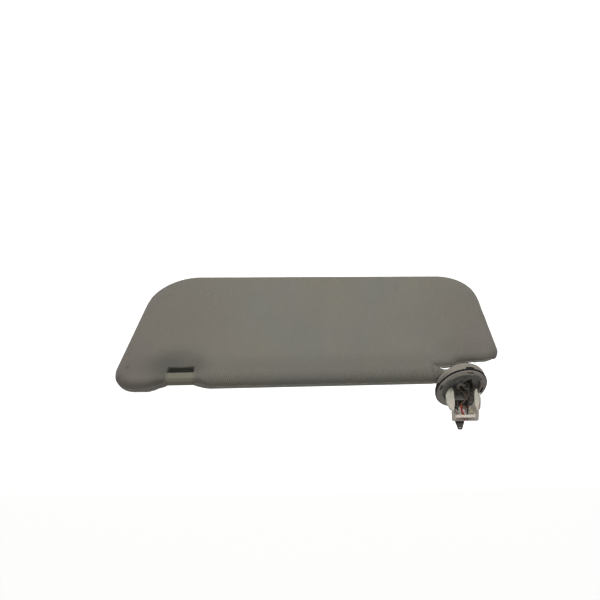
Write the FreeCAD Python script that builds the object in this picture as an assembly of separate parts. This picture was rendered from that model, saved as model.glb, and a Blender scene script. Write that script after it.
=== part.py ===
import FreeCAD, Part
import math
import os

# Car sun visor with a lit vanity mirror, hanging from its roof mount.
# Millimetres. +Z is up to the roof, +X runs along the rod from the mount to the
# support pin, -Y is the windscreen side. The origin is the centre of the mount's
# roof face. The panel is drawn flat first: x along the rod, y away from the rod
# axis to the free edge, z through the thickness, with the mirror side at +z.

V = FreeCAD.Vector
X_AXIS = V(1, 0, 0)
Y_AXIS = V(0, 1, 0)
Z_AXIS = V(0, 0, 1)

# Clearances
RUNNING_FIT = 0.05
MOVING_GAP = 0.3
SOFT_GAP = 0.15
# How far a cutter reaches past what it cuts, and a joined piece into its neighbour
OVERCUT = 1.0
LAP = 0.5
SHARP_CORNER = 0.3

# Roof mount: a round moulding, tilted with the headliner
ROOF_TILT = 15.0
ELBOW_DROP = 22.8
DOME_RADIUS = 29.5
DOME_HEIGHT = 20.0
DOME_SHOULDER = 13.0
SHOULDER_STEPS = 4
DOME_WALL = 2.2
WELL_RADIUS = 12.5
WELL_FLOOR_DEPTH = 14.2
GASKET_THICKNESS = 1.3
GASKET_WIDTH = 3.0
BASE_RADIUS = 28.8
BASE_FLANGE = 1.6
RECESS_RADIUS = 22.0
RECESS_DEPTH = 6.0
RECESS_FLOOR = 2.0
RECESS_WALL = 1.6
BASE_STEP = 0.7
BASE_STEP_SHIFT = 1.0
BASE_RIB = 1.4
BASE_RIB_COUNT = 6
BASE_RIB_SETBACK = 1.0
SNAP_COUNT = 4
SNAP_ANGLE = 67.0
SNAP_WIDTH = 8.0
SNAP_THICKNESS = 1.5
VENT_COUNT = 4
VENT_SIZE = 1.6
VENT_EDGE = 0.8
VENT_START = 38.0
VENT_PITCH = 9.5
WIRE_WINDOW_WIDTH = 6.2
WIRE_WINDOW_LENGTH = 11.0
WIRE_WINDOW_X = -10.6

# Swivel post and rod
POST_RADIUS = 5.0
SLEEVE_WALL = 2.0
COLLAR_RADIUS = 8.6
COLLAR_THICKNESS = 1.6
WASHER_THICKNESS = 0.8
SPRING_WASHER_RISE = 0.7
POST_LIP = 1.6
RING_THICKNESS = 0.9
RING_WIDTH = 2.6
GROOVE_DEPTH = 0.8
KNUCKLE_RADIUS = 7.0
SOCKET_RADIUS = 5.5
SOCKET_START = 8.0
PANEL_GAP = 1.0
TUBE_RADIUS = 4.25
TUBE_WALL = 1.25
TUBE_END = 196.0
LEAD_BORE = 2.1
ELBOW_HOLLOW = 3.6
KNUCKLE_CHAMFER = 2.2
LEAD_BEND = 6.0
LEAD_EXIT = 2.0
LEAD_RISE = 2.4
LAMP_LEAD_RADIUS = 0.9
LAMP_LEAD_RUN = 16.0
LEAD_RADIUS = 1.3
LEAD_SIDES = 6

# Snap clip that passes through the roof panel
CLIP_X = -2.0
CLIP_WIDTH = 29.0
CLIP_DEPTH = 18.0
CLIP_HEIGHT = 38.0
CLIP_WALL = 2.4
CLIP_FOOT = 2.0
CLIP_FOOT_MARGIN = 2.5
CLIP_CORNER = 2.5
CLIP_SILL_DEPTH = 6.5
CLIP_SILL_HEIGHT = 3.4
CLIP_SLOT = 2.4
BARB_REACH = 5.2
BARB_TOP = 22.0
BARB_FOOT = 1.5
BARB_DEPTH = 11.0
BARB_THICKNESS = 2.0
BARB_SHOULDER = 5.0
BARB_ROOT = 1.5
BARB_LIP = 1.0
BARB_LAP = 0.4

# Electrical pieces inside the clip
HOUSING_WIDTH = 17.0
HOUSING_DEPTH = 8.0
HOUSING_LOW = 6.0
HOUSING_HEIGHT = 17.0
HOUSING_X = 1.5
HOUSING_CORNER = 0.8
TERMINAL_WIDTH = 2.4
TERMINAL_HEIGHT = 14.0
TERMINAL_PITCH = 6.5
TERMINAL_X = -1.7
TERMINAL_BURIED = 7.0
TERMINAL_THICKNESS = 1.2
WIRE_RADIUS = 0.85
WIRE_REACH = 1.0
RED_END_X = -1.0
BLACK_END_X = -4.2
TONGUE_WIDTH = 4.6
TONGUE_HEIGHT = 7.0
TONGUE_THICKNESS = 1.2
TONGUE_CORNER = 1.8
TONGUE_DROP = 1.0
BRACKET_WIDTH = 10.0
BRACKET_THICKNESS = 1.5
BRACKET_REACH = 10.5
BRACKET_TIP = 2.2
BRACKET_HOLE = 0.9
BRACKET_SHIFT = 6.0
BRACKET_LOW = 8.0
BRACKET_FOOT_CORNER = 1.0
BRACKET_SIDE_CORNER = 2.0
BRACKET_TIP_CORNER = 1.6

# Bends of the leads: heights over the terminals, places in the clip, places in the panel
SUPPLY_RISES = (3.6, 6.6, 9.0)
SUPPLY_LEAN = 1.0
BLACK_LOOP = [(-4.5, -3.8, 5.0), (-9.5, -5.2, 10), (-12, -5.5, 17.5), (-9.5, -3.8, 25), (-5, -3, 26),
              (-1.7, 0.9, 22.5)]
BROWN_LOOP = [(1.2, -3.6, 4.5), (-1.5, -6, 11), (-4, -7, 18), (-1, -6, 24), (3, -3.5, 25.5), (5.5, 1.0, 22.5)]
INBOARD_ROUTE = [(209, 5, -1.4), (220, 17, -1.5), (228, 35, -1.2)]
OUTBOARD_ROUTE = [(208, 4, 0.9), (207, 12, 0.5), (196, 20, -0.5), (176, 25, -1), (152, 30, -1.2),
                  (130, 38, -1.2), (117, 47, -1)]

# Panel outline: distances along the rod and away from the rod axis
ROD_START = 30.0
NOTCH_EDGE = 21.0
NOTCH_CORNER = 3.0
OUTER_FOOT_X = -45.0
OUTER_FOOT_RADIUS = 16.0
OUTER_TOP_X = -17.8
OUTER_TOP_RADIUS = 50.0
OUTER_HEIGHT = 150.6
INNER_TOP_X = 357.0
INNER_TOP_RADIUS = 62.0
INNER_HEIGHT = 162.2
LOBE_FOOT_X = 396.0
LOBE_RADIUS = 22.0
OUTLINE_MARGIN = 0.4

# Panel thickness
EDGE_RADIUS = 10.7
FREE_HALF_THICKNESS = 5.5
SIDE_BOW_RADIUS = 11.5
CLOTH = 1.2
SHELL_WALL = 2.0
RIB_THICKNESS = 1.4
RIB_HEIGHT = 3.0
RIB_PITCH = 34.0
RELIEF_START = 1.6
RELIEF_DEPTH = 9.0

# Support pin and its notch
PIN_START = 300.5
PIN_LENGTH = 30.0
PIN_HALF = 5.9
PIN_BEVEL = 2.6
PIN_CORNER = 1.2
PIN_GROOVE = 0.6
PIN_COLLAR = 3.6
PIN_COLLAR_HALF = 6.3
PIN_ANCHOR = 12.0
PIN_ANCHOR_HALF = 4.6
NOTCH_DEPTH = 13.2
NOTCH_RADIUS = 5.0
NOTCH_RAMP_DROP = 6.3
NOTCH_RAMP_NEAR = 27.0
NOTCH_RAMP_FAR = 22.0
NOTCH_RAMP_RADIUS = 7.0
DIMPLE_RADIUS = 85.0
DIMPLE_DEPTH = 5.2

# Bushings and detent spring on the rod
BUSHING_RADIUS = 6.6
BUSHING_LENGTH = 15.0
INNER_BUSHING_X = 172.0
SPRING_X = 112.0
SPRING_LENGTH = 44.0
SPRING_THICKNESS = 0.9
SPRING_LEG = 3.0
SPRING_WINDOWS = 3
SPRING_WINDOW_LENGTH = 8.0
SPRING_WINDOW_WIDTH = 4.0
BLOCK_HEIGHT = 9.0

# Vanity mirror, lamps and cover
MIRROR_X = 172.0
FRAME_WIDTH = 150.0
FRAME_TOP = 36.0
FRAME_HEIGHT = 92.0
FRAME_RIM = 3.2
FRAME_CORNER = 7.0
FRAME_RISE = 4.0
FRAME_PLATE = 1.2
FRAME_BOX_DEPTH = 7.4
FRAME_BOX_INSET = 2.5
GLASS_HEIGHT = 66.0
GLASS_CORNER = 2.0
GLASS_THICKNESS = 2.0
GLASS_LIP = 1.5
LENS_WIDTH = 13.0
LENS_HEIGHT = 46.0
LENS_THICKNESS = 1.5
LENS_LIP = 1.0
LENS_GAP = 7.0
LENS_MARGIN = 9.0
LENS_CORNER = 1.5
LENS_RIDGES = 3
RIDGE_HALF_WIDTH = 0.9
RIDGE_DEPTH = 0.7
BULB_RADIUS = 2.2
BULB_LENGTH = 24.0
BULB_CAP = 4.0
BULB_CAP_STEP = 0.3
CONTACT_THICKNESS = 0.5
CONTACT_WIDTH = 4.0
CONTACT_TAIL = 2.5
COVER_THICKNESS = 2.0
COVER_SIDE_GAP = 0.5
HINGE_RADIUS = 2.1
HINGE_PIN_RADIUS = 0.9
HINGE_PIN_LENGTH = 9.0
HINGE_PIN_INSET = 1.2
HINGE_BORE_INSET = 1.0
KNUCKLE_LENGTH = 12.0
COVER_LIP_WIDTH = 13.0
COVER_LIP_REACH = 1.2
SPRING_RISE = 0.6
COVER_SPRING_LENGTH = 16.0
COVER_SPRING_WIDTH = 3.0
COVER_SPRING_THICKNESS = 0.4

PARTS = {}


def box(x0, x1, y0, y1, z0, z1):
    return Part.makeBox(x1 - x0, y1 - y0, z1 - z0, V(x0, y0, z0))


def cylinder(radius, z0, z1, x=0.0, y=0.0):
    return Part.makeCylinder(radius, z1 - z0, V(x, y, z0))


def rod(radius, x0, x1, y=0.0, z=0.0):
    """A cylinder along x."""
    return Part.makeCylinder(radius, x1 - x0, V(x0, y, z), X_AXIS)


def tube(outer, inner, z0, z1):
    return cylinder(outer, z0, z1).cut(cylinder(inner, z0 - OVERCUT, z1 + OVERCUT))


def polygon(points):
    return Part.Face(Part.makePolygon([V(*p) for p in points] + [V(*points[0])]))


def rounded_outline(corners):
    """A closed flat outline from (x, y, corner radius), as a wire."""
    edges = []
    starts = []
    count = len(corners)
    for i, (x, y, radius) in enumerate(corners):
        here = V(x, y, 0)
        back = (V(*corners[i - 1][:2], 0) - here).normalize()
        ahead = (V(*corners[(i + 1) % count][:2], 0) - here).normalize()
        half_angle = back.getAngle(ahead) / 2
        reach = radius / math.tan(half_angle)
        middle = (back + ahead).normalize()
        inner = here + middle * (radius / math.sin(half_angle) - radius)
        starts.append((here + back * reach, here + ahead * reach))
        edges.append(Part.Arc(here + back * reach, inner, here + ahead * reach).toShape())
    path = []
    for i in range(count):
        path.append(edges[i])
        path.append(Part.LineSegment(starts[i][1], starts[(i + 1) % count][0]).toShape())
    return Part.Wire(Part.__sortEdges__(path))


def rounded_plate(x0, x1, y0, y1, radius, z0, z1):
    wire = rounded_outline([(x0, y0, radius), (x1, y0, radius), (x1, y1, radius), (x0, y1, radius)])
    plate = Part.Face(wire).extrude(V(0, 0, z1 - z0))
    plate.translate(V(0, 0, z0))
    return plate


def lead_section(centre, along, radius):
    turn = FreeCAD.Rotation(Z_AXIS, along)
    corners = []
    for k in range(LEAD_SIDES):
        angle = 2 * math.pi * (k + 0.5) / LEAD_SIDES
        spoke = V(radius * math.cos(angle), radius * math.sin(angle), 0)
        corners.append(centre + turn.multVec(spoke))
    return Part.makePolygon(corners + corners[:1])


def cord(points, radius, name, largest_bend=1000.0):
    """A lead: straight runs joined by arcs as large as the runs allow, drawn six-sided."""
    stops = [V(*p) for p in points]
    path = []
    radii = []
    last = stops[0]
    for i in range(1, len(stops) - 1):
        back = stops[i - 1] - stops[i]
        ahead = stops[i + 1] - stops[i]
        half_turn = (math.pi - back.getAngle(ahead)) / 2
        bend = min(0.45 * min(back.Length, ahead.Length) / math.tan(half_turn), largest_bend)
        reach = bend * math.tan(half_turn)
        back.normalize()
        ahead.normalize()
        middle = (back + ahead).normalize()
        first = stops[i] + back * reach
        second = stops[i] + ahead * reach
        crown = stops[i] + middle * (bend / math.cos(half_turn) - bend)
        path.append(Part.LineSegment(last, first).toShape())
        path.append(Part.Arc(first, crown, second).toShape())
        radii.append(round(bend, 1))
        last = second
    path.append(Part.LineSegment(last, stops[-1]).toShape())
    spine = Part.Wire(path)
    solid = spine.makePipeShell([lead_section(stops[0], stops[1] - stops[0], radius)], True, False)
    print(name, "length", round(spine.Length, 1), "radii", radii)
    return solid


def on_mount(shape):
    """Drawn with +z as the swivel axis, placed with the headliner's tilt."""
    placed = shape.copy()
    placed.rotate(V(0, 0, 0), Y_AXIS, -ROOF_TILT)
    return placed


TILT = math.radians(ROOF_TILT)
ELBOW = V(ELBOW_DROP * math.sin(TILT), 0, -ELBOW_DROP * math.cos(TILT))


def hang(shape, taper=0.0):
    """Drawn flat about the rod axis, placed hanging down from the rod."""
    placed = shape.copy()
    placed.rotate(V(0, 0, 0), X_AXIS, -90 - taper)
    placed.translate(V(0, 0, ELBOW.z))
    return placed


TAPER = math.degrees(math.atan((EDGE_RADIUS - FREE_HALF_THICKNESS) / INNER_HEIGHT))


# Roof mount

GASKET_TOP = -BASE_FLANGE
DOME_RIM = GASKET_TOP - GASKET_THICKNESS
WELL_FLOOR = -WELL_FLOOR_DEPTH
SLEEVE_END = WELL_FLOOR + DOME_WALL + MOVING_GAP
RECESS_BOTTOM = -RECESS_DEPTH
RECESS_UNDER = RECESS_BOTTOM - RECESS_FLOOR


def revolve(points):
    """A turned solid from (radius, z) points."""
    return polygon([(r, 0, z) for r, z in points]).revolve(V(0, 0, 0), Z_AXIS, 360)


def snap_places():
    for k in range(SNAP_COUNT):
        yield SNAP_ANGLE + 360.0 * k / SNAP_COUNT


def round_about(shape, angle):
    placed = shape.copy()
    placed.rotate(V(0, 0, 0), Z_AXIS, angle)
    return placed


def bun(inset):
    """The dome's rounded form, its shoulder drawn as short cones, shrunk by an inset."""
    radius = DOME_RADIUS - inset
    shoulder = DOME_SHOULDER - inset
    low = inset - DOME_HEIGHT
    points = [(0, DOME_RIM), (0, low)]
    for k in range(SHOULDER_STEPS + 1):
        angle = math.radians(90.0 * k / SHOULDER_STEPS)
        points.append((radius - shoulder + shoulder * math.sin(angle), low + shoulder * (1 - math.cos(angle))))
    return revolve(points + [(radius, DOME_RIM)])


def bezel_dome():
    outer = bun(0)
    inner_radius = DOME_RADIUS - DOME_WALL
    inner = bun(DOME_WALL)
    well_wall = cylinder(WELL_RADIUS + DOME_WALL, -DOME_HEIGHT, WELL_FLOOR + DOME_WALL)
    shell = outer.cut(inner).fuse(well_wall.common(outer))
    shell = shell.cut(cylinder(WELL_RADIUS, -DOME_HEIGHT - OVERCUT, WELL_FLOOR))
    shell = shell.cut(cylinder(POST_RADIUS + MOVING_GAP, -DOME_HEIGHT, DOME_RIM))
    tab_outer = DOME_RADIUS - GASKET_WIDTH - MOVING_GAP
    tab_root = DOME_RIM - DOME_WALL
    half = SNAP_WIDTH / 2 - MOVING_GAP
    tab = box(tab_outer - SNAP_THICKNESS, tab_outer, -half, half, tab_root - DOME_WALL, -MOVING_GAP)
    bridge = box(tab_outer - SNAP_THICKNESS, inner_radius + LAP, -half, half, tab_root - DOME_WALL, tab_root)
    for angle in snap_places():
        shell = shell.fuse(round_about(tab.fuse(bridge), angle))
    return shell.removeSplitter()


def rim_gasket():
    return tube(DOME_RADIUS - MOVING_GAP, DOME_RADIUS - GASKET_WIDTH, DOME_RIM, GASKET_TOP)


def base_carrier():
    flange = cylinder(BASE_RADIUS, -BASE_FLANGE, 0)
    cup = cylinder(RECESS_RADIUS + RECESS_WALL, RECESS_UNDER, -BASE_FLANGE)
    base = flange.fuse(cup).cut(cylinder(RECESS_RADIUS, RECESS_BOTTOM, OVERCUT))
    sleeve = cylinder(POST_RADIUS + SLEEVE_WALL, SLEEVE_END, RECESS_BOTTOM)
    base = base.fuse(sleeve)
    rib = box(POST_RADIUS, RECESS_RADIUS, -BASE_RIB / 2, BASE_RIB / 2,
              SLEEVE_END + BASE_RIB_SETBACK, RECESS_UNDER)
    for k in range(BASE_RIB_COUNT):
        base = base.fuse(round_about(rib, 360.0 * k / BASE_RIB_COUNT + SNAP_ANGLE / 2))
    base = base.cut(cylinder(POST_RADIUS + RUNNING_FIT, SLEEVE_END - OVERCUT, OVERCUT))
    base = base.cut(box(-BASE_RADIUS, BASE_RADIUS, BASE_STEP_SHIFT, BASE_RADIUS, -BASE_STEP, OVERCUT))
    reach = DOME_RADIUS - GASKET_WIDTH
    window = box(reach - SNAP_THICKNESS - 2 * MOVING_GAP, reach, -SNAP_WIDTH / 2, SNAP_WIDTH / 2,
                 -BASE_FLANGE - OVERCUT, OVERCUT)
    for angle in snap_places():
        base = base.cut(round_about(window, angle))
    vent_start = RECESS_RADIUS + VENT_EDGE
    vent = box(vent_start, vent_start + VENT_SIZE, -VENT_SIZE, VENT_SIZE, -BASE_FLANGE, OVERCUT)
    for side in (-1, 1):
        for k in range(VENT_COUNT):
            base = base.cut(round_about(vent, -90 + side * (VENT_START + VENT_PITCH * k)))
    half_x = WIRE_WINDOW_WIDTH / 2
    half_y = WIRE_WINDOW_LENGTH / 2
    base = base.cut(box(WIRE_WINDOW_X - half_x, WIRE_WINDOW_X + half_x, -half_y, half_y, SLEEVE_END, OVERCUT))
    return base.removeSplitter()


def thrust_washer():
    return tube(COLLAR_RADIUS, POST_RADIUS + MOVING_GAP, WELL_FLOOR - WASHER_THICKNESS, WELL_FLOOR)


def spring_washer():
    inner = POST_RADIUS + MOVING_GAP
    outer = inner + RING_WIDTH
    low = RECESS_BOTTOM
    middle = low + SPRING_WASHER_RISE / 2
    return revolve([(inner, middle), (outer, low), (outer, middle), (inner, low + SPRING_WASHER_RISE)])


# Snap clip, standing upright on the tilted recess floor

def above_recess(shape):
    """Trims an upright piece to the tilted floor of the recess."""
    reach = 2 * CLIP_HEIGHT
    below = on_mount(box(-reach, reach, -reach, reach, RECESS_BOTTOM - reach, RECESS_BOTTOM))
    return shape.cut(below)


CLIP_LEFT = CLIP_X - CLIP_WIDTH / 2
CLIP_RIGHT = CLIP_X + CLIP_WIDTH / 2
CLIP_FRONT = -CLIP_DEPTH / 2
CLIP_BACK = CLIP_DEPTH / 2


def clip_wing(side):
    """A leaf that hangs outside a leg and catches the roof panel with its shoulder."""
    leg = CLIP_X + side * CLIP_WIDTH / 2
    out = leg + side * BARB_REACH
    points = [
        (leg, 0, BARB_TOP + BARB_SHOULDER),
        (leg + side * BARB_ROOT, 0, BARB_TOP + BARB_SHOULDER),
        (out, 0, BARB_TOP - BARB_SHOULDER),
        (out - side * BARB_LIP, 0, BARB_TOP - 2 * BARB_SHOULDER),
        (out - side * (BARB_LIP + BARB_THICKNESS), 0, BARB_TOP - 2 * BARB_SHOULDER),
        (leg, 0, BARB_TOP - BARB_LAP),
    ]
    leaf = polygon(points).extrude(V(0, BARB_DEPTH, 0))
    leaf.translate(V(0, CLIP_FRONT + BARB_FOOT, 0))
    return leaf


def snap_clip():
    low = -CLIP_HEIGHT
    body = rounded_plate(CLIP_LEFT, CLIP_RIGHT, CLIP_FRONT, CLIP_BACK, CLIP_CORNER, low, CLIP_HEIGHT)
    hollow = box(CLIP_LEFT + CLIP_WALL, CLIP_RIGHT - CLIP_WALL, CLIP_FRONT - OVERCUT, CLIP_BACK - CLIP_WALL,
                 low - OVERCUT, CLIP_HEIGHT + OVERCUT)
    body = body.cut(hollow)
    half_wall = CLIP_WALL / 2
    sill = box(CLIP_LEFT + half_wall, CLIP_RIGHT - half_wall, CLIP_BACK - CLIP_SILL_DEPTH,
               CLIP_BACK - half_wall, CLIP_HEIGHT - CLIP_SILL_HEIGHT, CLIP_HEIGHT)
    slot = box(CLIP_LEFT + 2 * CLIP_WALL, CLIP_RIGHT - 2 * CLIP_WALL, CLIP_BACK - CLIP_WALL - CLIP_SLOT,
               CLIP_BACK - CLIP_WALL, CLIP_HEIGHT - 2 * CLIP_SILL_HEIGHT, CLIP_HEIGHT + OVERCUT)
    body = body.fuse(sill).cut(slot)
    for side in (-1, 1):
        body = body.fuse(clip_wing(side))
    body = above_recess(body)
    foot_plate = rounded_plate(CLIP_LEFT - CLIP_FOOT_MARGIN, CLIP_RIGHT + CLIP_FOOT_MARGIN,
                               CLIP_FRONT, CLIP_BACK, CLIP_CORNER, low, CLIP_HEIGHT)
    floor_slab = on_mount(cylinder(RECESS_RADIUS - MOVING_GAP, RECESS_BOTTOM, RECESS_BOTTOM + CLIP_FOOT))
    feet = floor_slab.common(foot_plate).cut(hollow)
    post_room = on_mount(cylinder(POST_RADIUS + RING_WIDTH + 2 * MOVING_GAP, RECESS_BOTTOM - OVERCUT,
                                  POST_TOP + OVERCUT))
    return body.fuse(feet).cut(post_room).removeSplitter()


def connector_housing():
    x0 = HOUSING_X - HOUSING_WIDTH / 2
    y0 = CLIP_BACK - CLIP_WALL - HOUSING_DEPTH
    block = box(x0, x0 + HOUSING_WIDTH, y0, CLIP_BACK - CLIP_WALL, HOUSING_LOW, HOUSING_HEIGHT)
    upright = [e for e in block.Edges if abs(e.tangentAt(0).z) > 0.9]
    block = block.makeFillet(HOUSING_CORNER, upright)
    for x, y in terminal_places():
        half = TERMINAL_WIDTH / 2 + MOVING_GAP
        cavity = box(x - half, x + half, y - TERMINAL_THICKNESS, y + TERMINAL_THICKNESS,
                     HOUSING_HEIGHT - TERMINAL_BURIED, HOUSING_HEIGHT + OVERCUT)
        block = block.cut(cavity)
    return block


def terminal_places():
    middle = CLIP_BACK - CLIP_WALL - HOUSING_DEPTH / 2
    for side in (-1, 1):
        yield TERMINAL_X + side * TERMINAL_PITCH / 2, middle


def connector_terminals():
    blades = []
    for x, y in terminal_places():
        half = TERMINAL_WIDTH / 2
        low = HOUSING_HEIGHT - TERMINAL_BURIED
        blade = box(x - half, x + half, y - TERMINAL_THICKNESS / 2, y + TERMINAL_THICKNESS / 2,
                    low, low + TERMINAL_HEIGHT)
        blades.append(blade)
    return Part.makeCompound(blades)


def locking_tongue():
    x0 = CLIP_LEFT + CLIP_WALL + CLIP_CORNER
    back = CLIP_BACK - CLIP_WALL
    top = CLIP_HEIGHT - 2 * CLIP_SILL_HEIGHT - TONGUE_DROP
    return rounded_plate_upright(x0, x0 + TONGUE_WIDTH, top - TONGUE_HEIGHT, top, TONGUE_CORNER,
                                 back - TONGUE_THICKNESS, back)


def rounded_plate_upright(x0, x1, z0, z1, radius, y0, y1):
    plate = rounded_plate(x0, x1, -z1, -z0, radius, y0, y1)
    plate.rotate(V(0, 0, 0), X_AXIS, -90)
    return plate


def bracket_tab():
    """A dark stiffener on the clip's back, with a pointed, holed end."""
    middle = CLIP_X + BRACKET_SHIFT
    half = BRACKET_WIDTH / 2
    top = CLIP_HEIGHT + BRACKET_REACH
    outline = rounded_outline([
        (middle - half, BRACKET_LOW, BRACKET_FOOT_CORNER),
        (middle + half, BRACKET_LOW, BRACKET_FOOT_CORNER),
        (middle + half, CLIP_HEIGHT, BRACKET_SIDE_CORNER),
        (middle + BRACKET_TIP, top, BRACKET_TIP_CORNER),
        (middle - BRACKET_TIP, top, BRACKET_TIP_CORNER),
        (middle - half, CLIP_HEIGHT, BRACKET_SIDE_CORNER),
    ])
    plate = Part.Face(outline).extrude(V(0, 0, BRACKET_THICKNESS))
    hole = cylinder(BRACKET_HOLE, -OVERCUT, BRACKET_THICKNESS + OVERCUT, middle, top - BRACKET_TIP)
    plate = plate.cut(hole)
    plate.rotate(V(0, 0, 0), X_AXIS, 90)
    plate.translate(V(0, CLIP_BACK + BRACKET_THICKNESS, 0))
    return plate


# Pieces that swivel

SHOULDER = WELL_FLOOR - WASHER_THICKNESS - RUNNING_FIT
SOCKET_END = ROD_START - ELBOW.x - PANEL_GAP
RING_LOW = RECESS_BOTTOM + SPRING_WASHER_RISE + RUNNING_FIT
POST_TOP = RING_LOW + RING_THICKNESS + POST_LIP


def mount_rod(radius, start, end):
    """A cylinder along the rod, as drawn in the mount's frame."""
    along = V(math.cos(TILT), 0, -math.sin(TILT))
    return Part.makeCylinder(radius, end - start, V(0, 0, -ELBOW_DROP) + along * start, along)


def knuckle():
    """The corner where post and rod meet: a short drum lying across, with bevelled ends."""
    radius = KNUCKLE_RADIUS
    inner = radius - KNUCKLE_CHAMFER
    drum = revolve([(0, -radius), (inner, -radius), (radius, -inner), (radius, inner), (inner, radius),
                    (0, radius)])
    drum.rotate(V(0, 0, 0), X_AXIS, 90)
    drum.translate(V(0, 0, -ELBOW_DROP))
    return drum


def arm_elbow():
    body = cylinder(POST_RADIUS, -ELBOW_DROP, POST_TOP)
    body = body.fuse(cylinder(COLLAR_RADIUS, SHOULDER - COLLAR_THICKNESS, SHOULDER))
    body = body.fuse(knuckle()).fuse(mount_rod(SOCKET_RADIUS, 0, SOCKET_END))
    body = body.cut(mount_rod(TUBE_RADIUS, SOCKET_START, SOCKET_END + OVERCUT))
    groove = tube(POST_RADIUS + OVERCUT, POST_RADIUS - GROOVE_DEPTH, RING_LOW, RING_LOW + RING_THICKNESS)
    body = body.cut(groove)
    bore = cylinder(LEAD_BORE, -ELBOW_DROP, POST_TOP + OVERCUT)
    turn = box(-LEAD_BORE, ELBOW_HOLLOW, -LEAD_BORE, LEAD_BORE, -ELBOW_DROP - LEAD_BORE,
               ELBOW_HOLLOW - ELBOW_DROP)
    body = body.cut(bore.fuse(turn).fuse(mount_rod(LEAD_BORE, 0, SOCKET_START + OVERCUT)))
    return body.removeSplitter()


def retaining_ring():
    inner = POST_RADIUS - GROOVE_DEPTH + RUNNING_FIT
    top = RING_LOW + RING_THICKNESS
    return tube(POST_RADIUS + RING_WIDTH, inner, RING_LOW + RUNNING_FIT, top - RUNNING_FIT)


def arm_tube():
    start = ELBOW.x + SOCKET_START
    bore = rod(TUBE_RADIUS - TUBE_WALL, start - OVERCUT, TUBE_END + OVERCUT, 0, ELBOW.z)
    return rod(TUBE_RADIUS, start, TUBE_END, 0, ELBOW.z).cut(bore)


# Visor panel, drawn flat

def bowed_side(start, end, middle, inset, half, bow_radius):
    """All that lies inside one straight edge, whose wall bows outward in section."""
    along = (end - start).normalize()
    inward = V(-along.y, along.x, 0)
    if inward.dot(middle - start) < 0:
        inward = inward * -1
    depth = bow_radius - math.sqrt((bow_radius - inset) ** 2 - (half - inset) ** 2)
    reach = INNER_TOP_X
    height = 2 * EDGE_RADIUS
    corner = start - along * reach

    def place(d, z):
        return corner + inward * d + V(0, 0, z)

    bow = Part.Arc(place(depth, inset - half), place(inset, 0), place(depth, half - inset)).toShape()
    chain = [place(depth, half - inset), place(depth, height), place(2 * reach, height),
             place(2 * reach, -height), place(depth, -height), place(depth, inset - half)]
    lines = [Part.LineSegment(a, b).toShape() for a, b in zip(chain, chain[1:])]
    face = Part.Face(Part.Wire(Part.__sortEdges__([bow] + lines)))
    return face.extrude(along * ((end - start).Length + 2 * reach))


def rod_profile(inset):
    """Half-round rod edge with flat faces that taper to the free edge."""
    radius = EDGE_RADIUS - inset
    slope = math.radians(TAPER)
    touch_y = radius * math.sin(slope)
    touch_z = radius * math.cos(slope)
    far_y = INNER_HEIGHT + EDGE_RADIUS
    far_z = touch_z - (far_y - touch_y) * math.tan(slope)
    x0 = OUTER_FOOT_X - EDGE_RADIUS
    chain = [V(x0, touch_y, -touch_z), V(x0, far_y, -far_z), V(x0, far_y, far_z), V(x0, touch_y, touch_z)]
    nose = Part.Arc(chain[3], V(x0, -radius, 0), chain[0]).toShape()
    lines = [Part.LineSegment(a, b).toShape() for a, b in zip(chain, chain[1:])]
    face = Part.Face(Part.Wire(Part.__sortEdges__([nose] + lines)))
    return face.extrude(V(LOBE_FOOT_X + EDGE_RADIUS - x0, 0, 0))


PIN_END = PIN_START + PIN_LENGTH
NOTCH_X0 = PIN_START - PIN_COLLAR
NOTCH_X1 = PIN_END + PIN_COLLAR
NOTCH_MIDDLE = (NOTCH_X0 + NOTCH_X1) / 2
OUTLINE_FOOT = -EDGE_RADIUS - OUTLINE_MARGIN

PANEL_CORNERS = [
    (ROD_START, OUTLINE_FOOT, SHARP_CORNER),
    (LOBE_FOOT_X, OUTLINE_FOOT, LOBE_RADIUS),
    (INNER_TOP_X, INNER_HEIGHT, INNER_TOP_RADIUS),
    (OUTER_TOP_X, OUTER_HEIGHT, OUTER_TOP_RADIUS),
    (OUTER_FOOT_X, NOTCH_EDGE, OUTER_FOOT_RADIUS),
    (ROD_START, NOTCH_EDGE, NOTCH_CORNER),
]


def flat_slab(corners, grow):
    """A plate through the whole thickness, its outline grown by an offset."""
    face = Part.Face(rounded_outline(corners))
    if grow:
        face = face.makeOffset2D(grow)
    slab = face.extrude(V(0, 0, 4 * EDGE_RADIUS))
    slab.translate(V(0, 0, -2 * EDGE_RADIUS))
    return slab


def pin_notch(grow):
    """The opening at the support pin, with the rod edge ramping down to it."""
    low = -EDGE_RADIUS - NOTCH_RAMP_DROP
    lip = -PIN_COLLAR_HALF
    corners = [
        (NOTCH_X0 - NOTCH_RAMP_NEAR, low, SHARP_CORNER),
        (NOTCH_X0 - PIN_COLLAR, lip, NOTCH_RAMP_RADIUS),
        (NOTCH_X0, lip, SHARP_CORNER),
        (NOTCH_X0, NOTCH_DEPTH, NOTCH_RADIUS),
        (NOTCH_X1, NOTCH_DEPTH, NOTCH_RADIUS),
        (NOTCH_X1, lip, SHARP_CORNER),
        (NOTCH_X1 + PIN_COLLAR, lip, NOTCH_RAMP_RADIUS),
        (NOTCH_X1 + NOTCH_RAMP_FAR, low, SHARP_CORNER),
    ]
    return flat_slab(corners, grow)


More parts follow.
